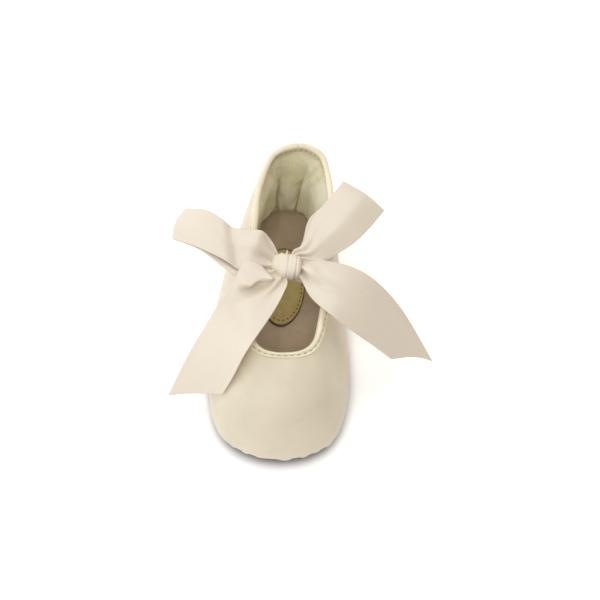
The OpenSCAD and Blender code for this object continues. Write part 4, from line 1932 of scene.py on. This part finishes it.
    def left_loop_relief(self, x: Array, w: Array) -> Array:
        """A crease and a full, rounded end.

        Args:
            x: distance from the knot, in stations.
            w: position across, 1 at the first edge and -1 at the second.

        Returns:
            Height in millimetres.
        """
        crease = -1.5 * bell(x - 0.4 * w, 1.7, 0.26) - 0.5 * bell(w, -0.2, 0.2) * bell(x, 1.1, 0.5)
        hump = 1.4 * bell(x, 1.1, 0.3) * smooth(w + 0.7)
        return crease + hump + 0.9 * (1 - w**2) * smooth(x * 0.7) + 0.12 * np.sin(w * 2.6 - x)

    def anchor_stitches(self) -> bpy.types.Object:
        """Two rows of stitches through each sewn end.

        Returns:
            The new object.
        """
        starts, ends, normals = [], [], []
        depth = -LAST.wall_t - 0.45 - 0.1 - 0.4 - 0.36
        for angle in (90.0, 270.0):
            for down in (7.0, 8.4):
                marks = angle + np.linspace(-11.0, 11.0, 11)
                p = LAST.rim(marks, np.full(marks.shape, down), depth)
                step = p[1:] - p[:-1]
                starts.append(p[:-1] + step * 0.15)
                ends.append(p[:-1] + step * 0.8)
                normals.append(-LAST.normal(marks[:-1], 1 - down * LAST.step_down(marks[:-1])))
        made = Stitches(radius=0.2, rise=0.14).run(
            "ribbon_anchor_stitches", np.concatenate(starts), np.concatenate(ends), np.concatenate(normals)
        )
        return settle(made, THREAD.make(), SHOE, ["ribbon_anchor_stitching"])

    def build(self) -> None:
        """Makes the whole bow."""
        self.knot.build()
        Strap("ribbon_tie_left", "ribbon_strap_left", 270.0, -1.0).build()
        Strap("ribbon_tie_right", "ribbon_strap_right", 90.0, 1.0).build()
        self.anchor_stitches()
        for ribbon in self.ribbons():
            ribbon.build()


# --------------------------------------------------------------------------- studio


@dataclass
class Studio:
    """A pale floor, soft light from the upper left, and the camera.

    Attributes:
        aim: the point the camera turns about, in millimetres.
        distance: from that point to the camera.
        elevation, azimuth: camera direction in degrees.
        lens: focal length on a 36 mm sensor.
        shift: lens shift that frames the shoe.
        sky: brightness of the room.
        key, fill, top: watts of the left, front and upper right softboxes.
    """

    aim: tuple[float, float, float] = (0.0, 0.0, 20.0)
    distance: float = 390.0
    elevation: float = 56.0
    azimuth: float = 2.2
    lens: float = 64.56
    shift: tuple[float, float] = (0.029, -0.0027)
    sky: float = 0.83
    key: float = 0.3
    fill: float = 0.72
    top: float = 0.66

    def floor(self) -> None:
        """A wide pale sweep under the shoe that turns up a little far away; the paper glows faintly, and a contact
        shadow is painted into its colour and glow.
        """
        size = 9000.0
        n = 37
        line = np.linspace(-size, size, n)
        x, y = np.meshgrid(line, line)
        rise = 330.0 * smooth((np.hypot(x, y) - 7500.0) / 1500.0)
        points = np.column_stack([x.ravel(), y.ravel(), rise.ravel() - 0.02])
        sweep = make_mesh("studio_floor", points, lattice(n, n), flat=True)
        if sweep.data.polygons[n * n // 2].normal.z < 0:
            sweep.data.flip_normals()
        paper = bpy.data.materials.new("matt_background_paper")
        paper.use_nodes = True
        tree = paper.node_tree
        shader = tree.nodes["Principled BSDF"]
        place = add(tree, "TexCoord", "Object")
        tooth = add(tree, "TexNoise", "Fac", {"Vector": place, "Scale": per_metre(1.5), "Detail": 4.0})
        # Painted contact shadow: ambient occlusion darkens the paper's colour and its glow close to the shoe.
        near = add(tree, "AmbientOcclusion", "AO", {"Distance": 9 * MM})
        painted_contact_shadow = add(tree, "ValToRGB", "Color", {"Fac": near}, [(0.25, "#77777f"), (0.8, "#f9f9f8")])
        # The paper also glows faintly, a painted glow that lights the shoe from below.
        surface = {
            "Base Color": painted_contact_shadow,
            "Emission Color": painted_contact_shadow,
            "Emission Strength": 0.3,
            "Roughness": 0.9,
            "Specular IOR Level": 0.1,
            "Normal": add(tree, "Bump", "Normal", {"Height": tooth, "Strength": 0.05, "Distance": 0.1 * MM}),
        }
        fill(tree, shader, surface)
        sweep.data.materials.append(paper)

    def light(self, name: str, at: Sequence[float], power: float, size: float, code: str) -> None:
        """A square area light aimed at the shoe.

        Args:
            name: the light's name.
            at: its place in millimetres.
            power: watts.
            size: side length in millimetres.
            code: hex colour.
        """
        data = bpy.data.lights.new(name, "AREA")
        data.energy, data.size, data.color = power, size * MM, srgb(code)[:3]
        lamp = bpy.data.objects.new(name, data)
        bpy.context.scene.collection.objects.link(lamp)
        lamp.location = Vector(at) * MM
        lamp.rotation_euler = (Vector(self.aim) * MM - lamp.location).to_track_quat("-Z", "Y").to_euler()

    def world(self) -> None:
        """Light from all round, dimmer and warmer low on the right."""
        world = bpy.data.worlds.new("soft_room")
        world.use_nodes = True
        tree = world.node_tree
        back = tree.nodes["Background"]
        place = add(tree, "TexCoord", "Generated")
        dark = add(tree, "VectorMath", "Value", {0: place, 1: (0.87, -0.32, -0.38)}, operation="DOT_PRODUCT")
        side = add(tree, "MapRange", "Result", {"Value": dark, "From Min": -1.0, "From Max": 1.0})
        tint = add(tree, "ValToRGB", "Color", {"Fac": side}, [(0.3, "#ffffff"), (0.76, "#6c5333")])
        fill(tree, back, {"Color": tint, "Strength": self.sky * 1.2})
        bpy.context.scene.world = world

    def camera(self) -> None:
        """The camera at the viewing angle."""
        e, a = math.radians(self.elevation), math.radians(self.azimuth)
        away = Vector((math.sin(a) * math.cos(e), -math.cos(a) * math.cos(e), math.sin(e)))
        data = bpy.data.cameras.new("studio_camera")
        data.lens, data.sensor_width = self.lens, 36.0
        data.shift_x, data.shift_y = self.shift
        data.clip_start, data.clip_end = 0.01, 20.0
        view = bpy.data.objects.new("studio_camera", data)
        bpy.context.scene.collection.objects.link(view)
        aim = Vector(self.aim) * MM
        view.location = aim + away * (self.distance * MM)
        view.rotation_euler = (aim - view.location).to_track_quat("-Z", "Y").to_euler()
        bpy.context.scene.camera = view

    def build(self) -> None:
        """Sets up floor, lights, colour and camera."""
        self.camera()
        self.floor()
        self.world()
        self.light("key_softbox", (-380, 40, 430), self.key, 480, "#fffdf8")
        self.light("top_softbox", (190, 230, 470), self.top, 380, "#ffffff")
        self.light("front_softbox", (-40, -330, 520), self.fill, 320, "#ffffff")
        bpy.context.scene.view_settings.view_transform = "Standard"


def main() -> None:
    """Builds the studio and the shoe in order."""
    logging.basicConfig(level=logging.INFO, format="%(name)s: %(message)s")
    Studio().build()
    Sole().build()
    Upper().build()
    Linings().build()
    Bow().build()


if __name__ == "__main__":
    main()
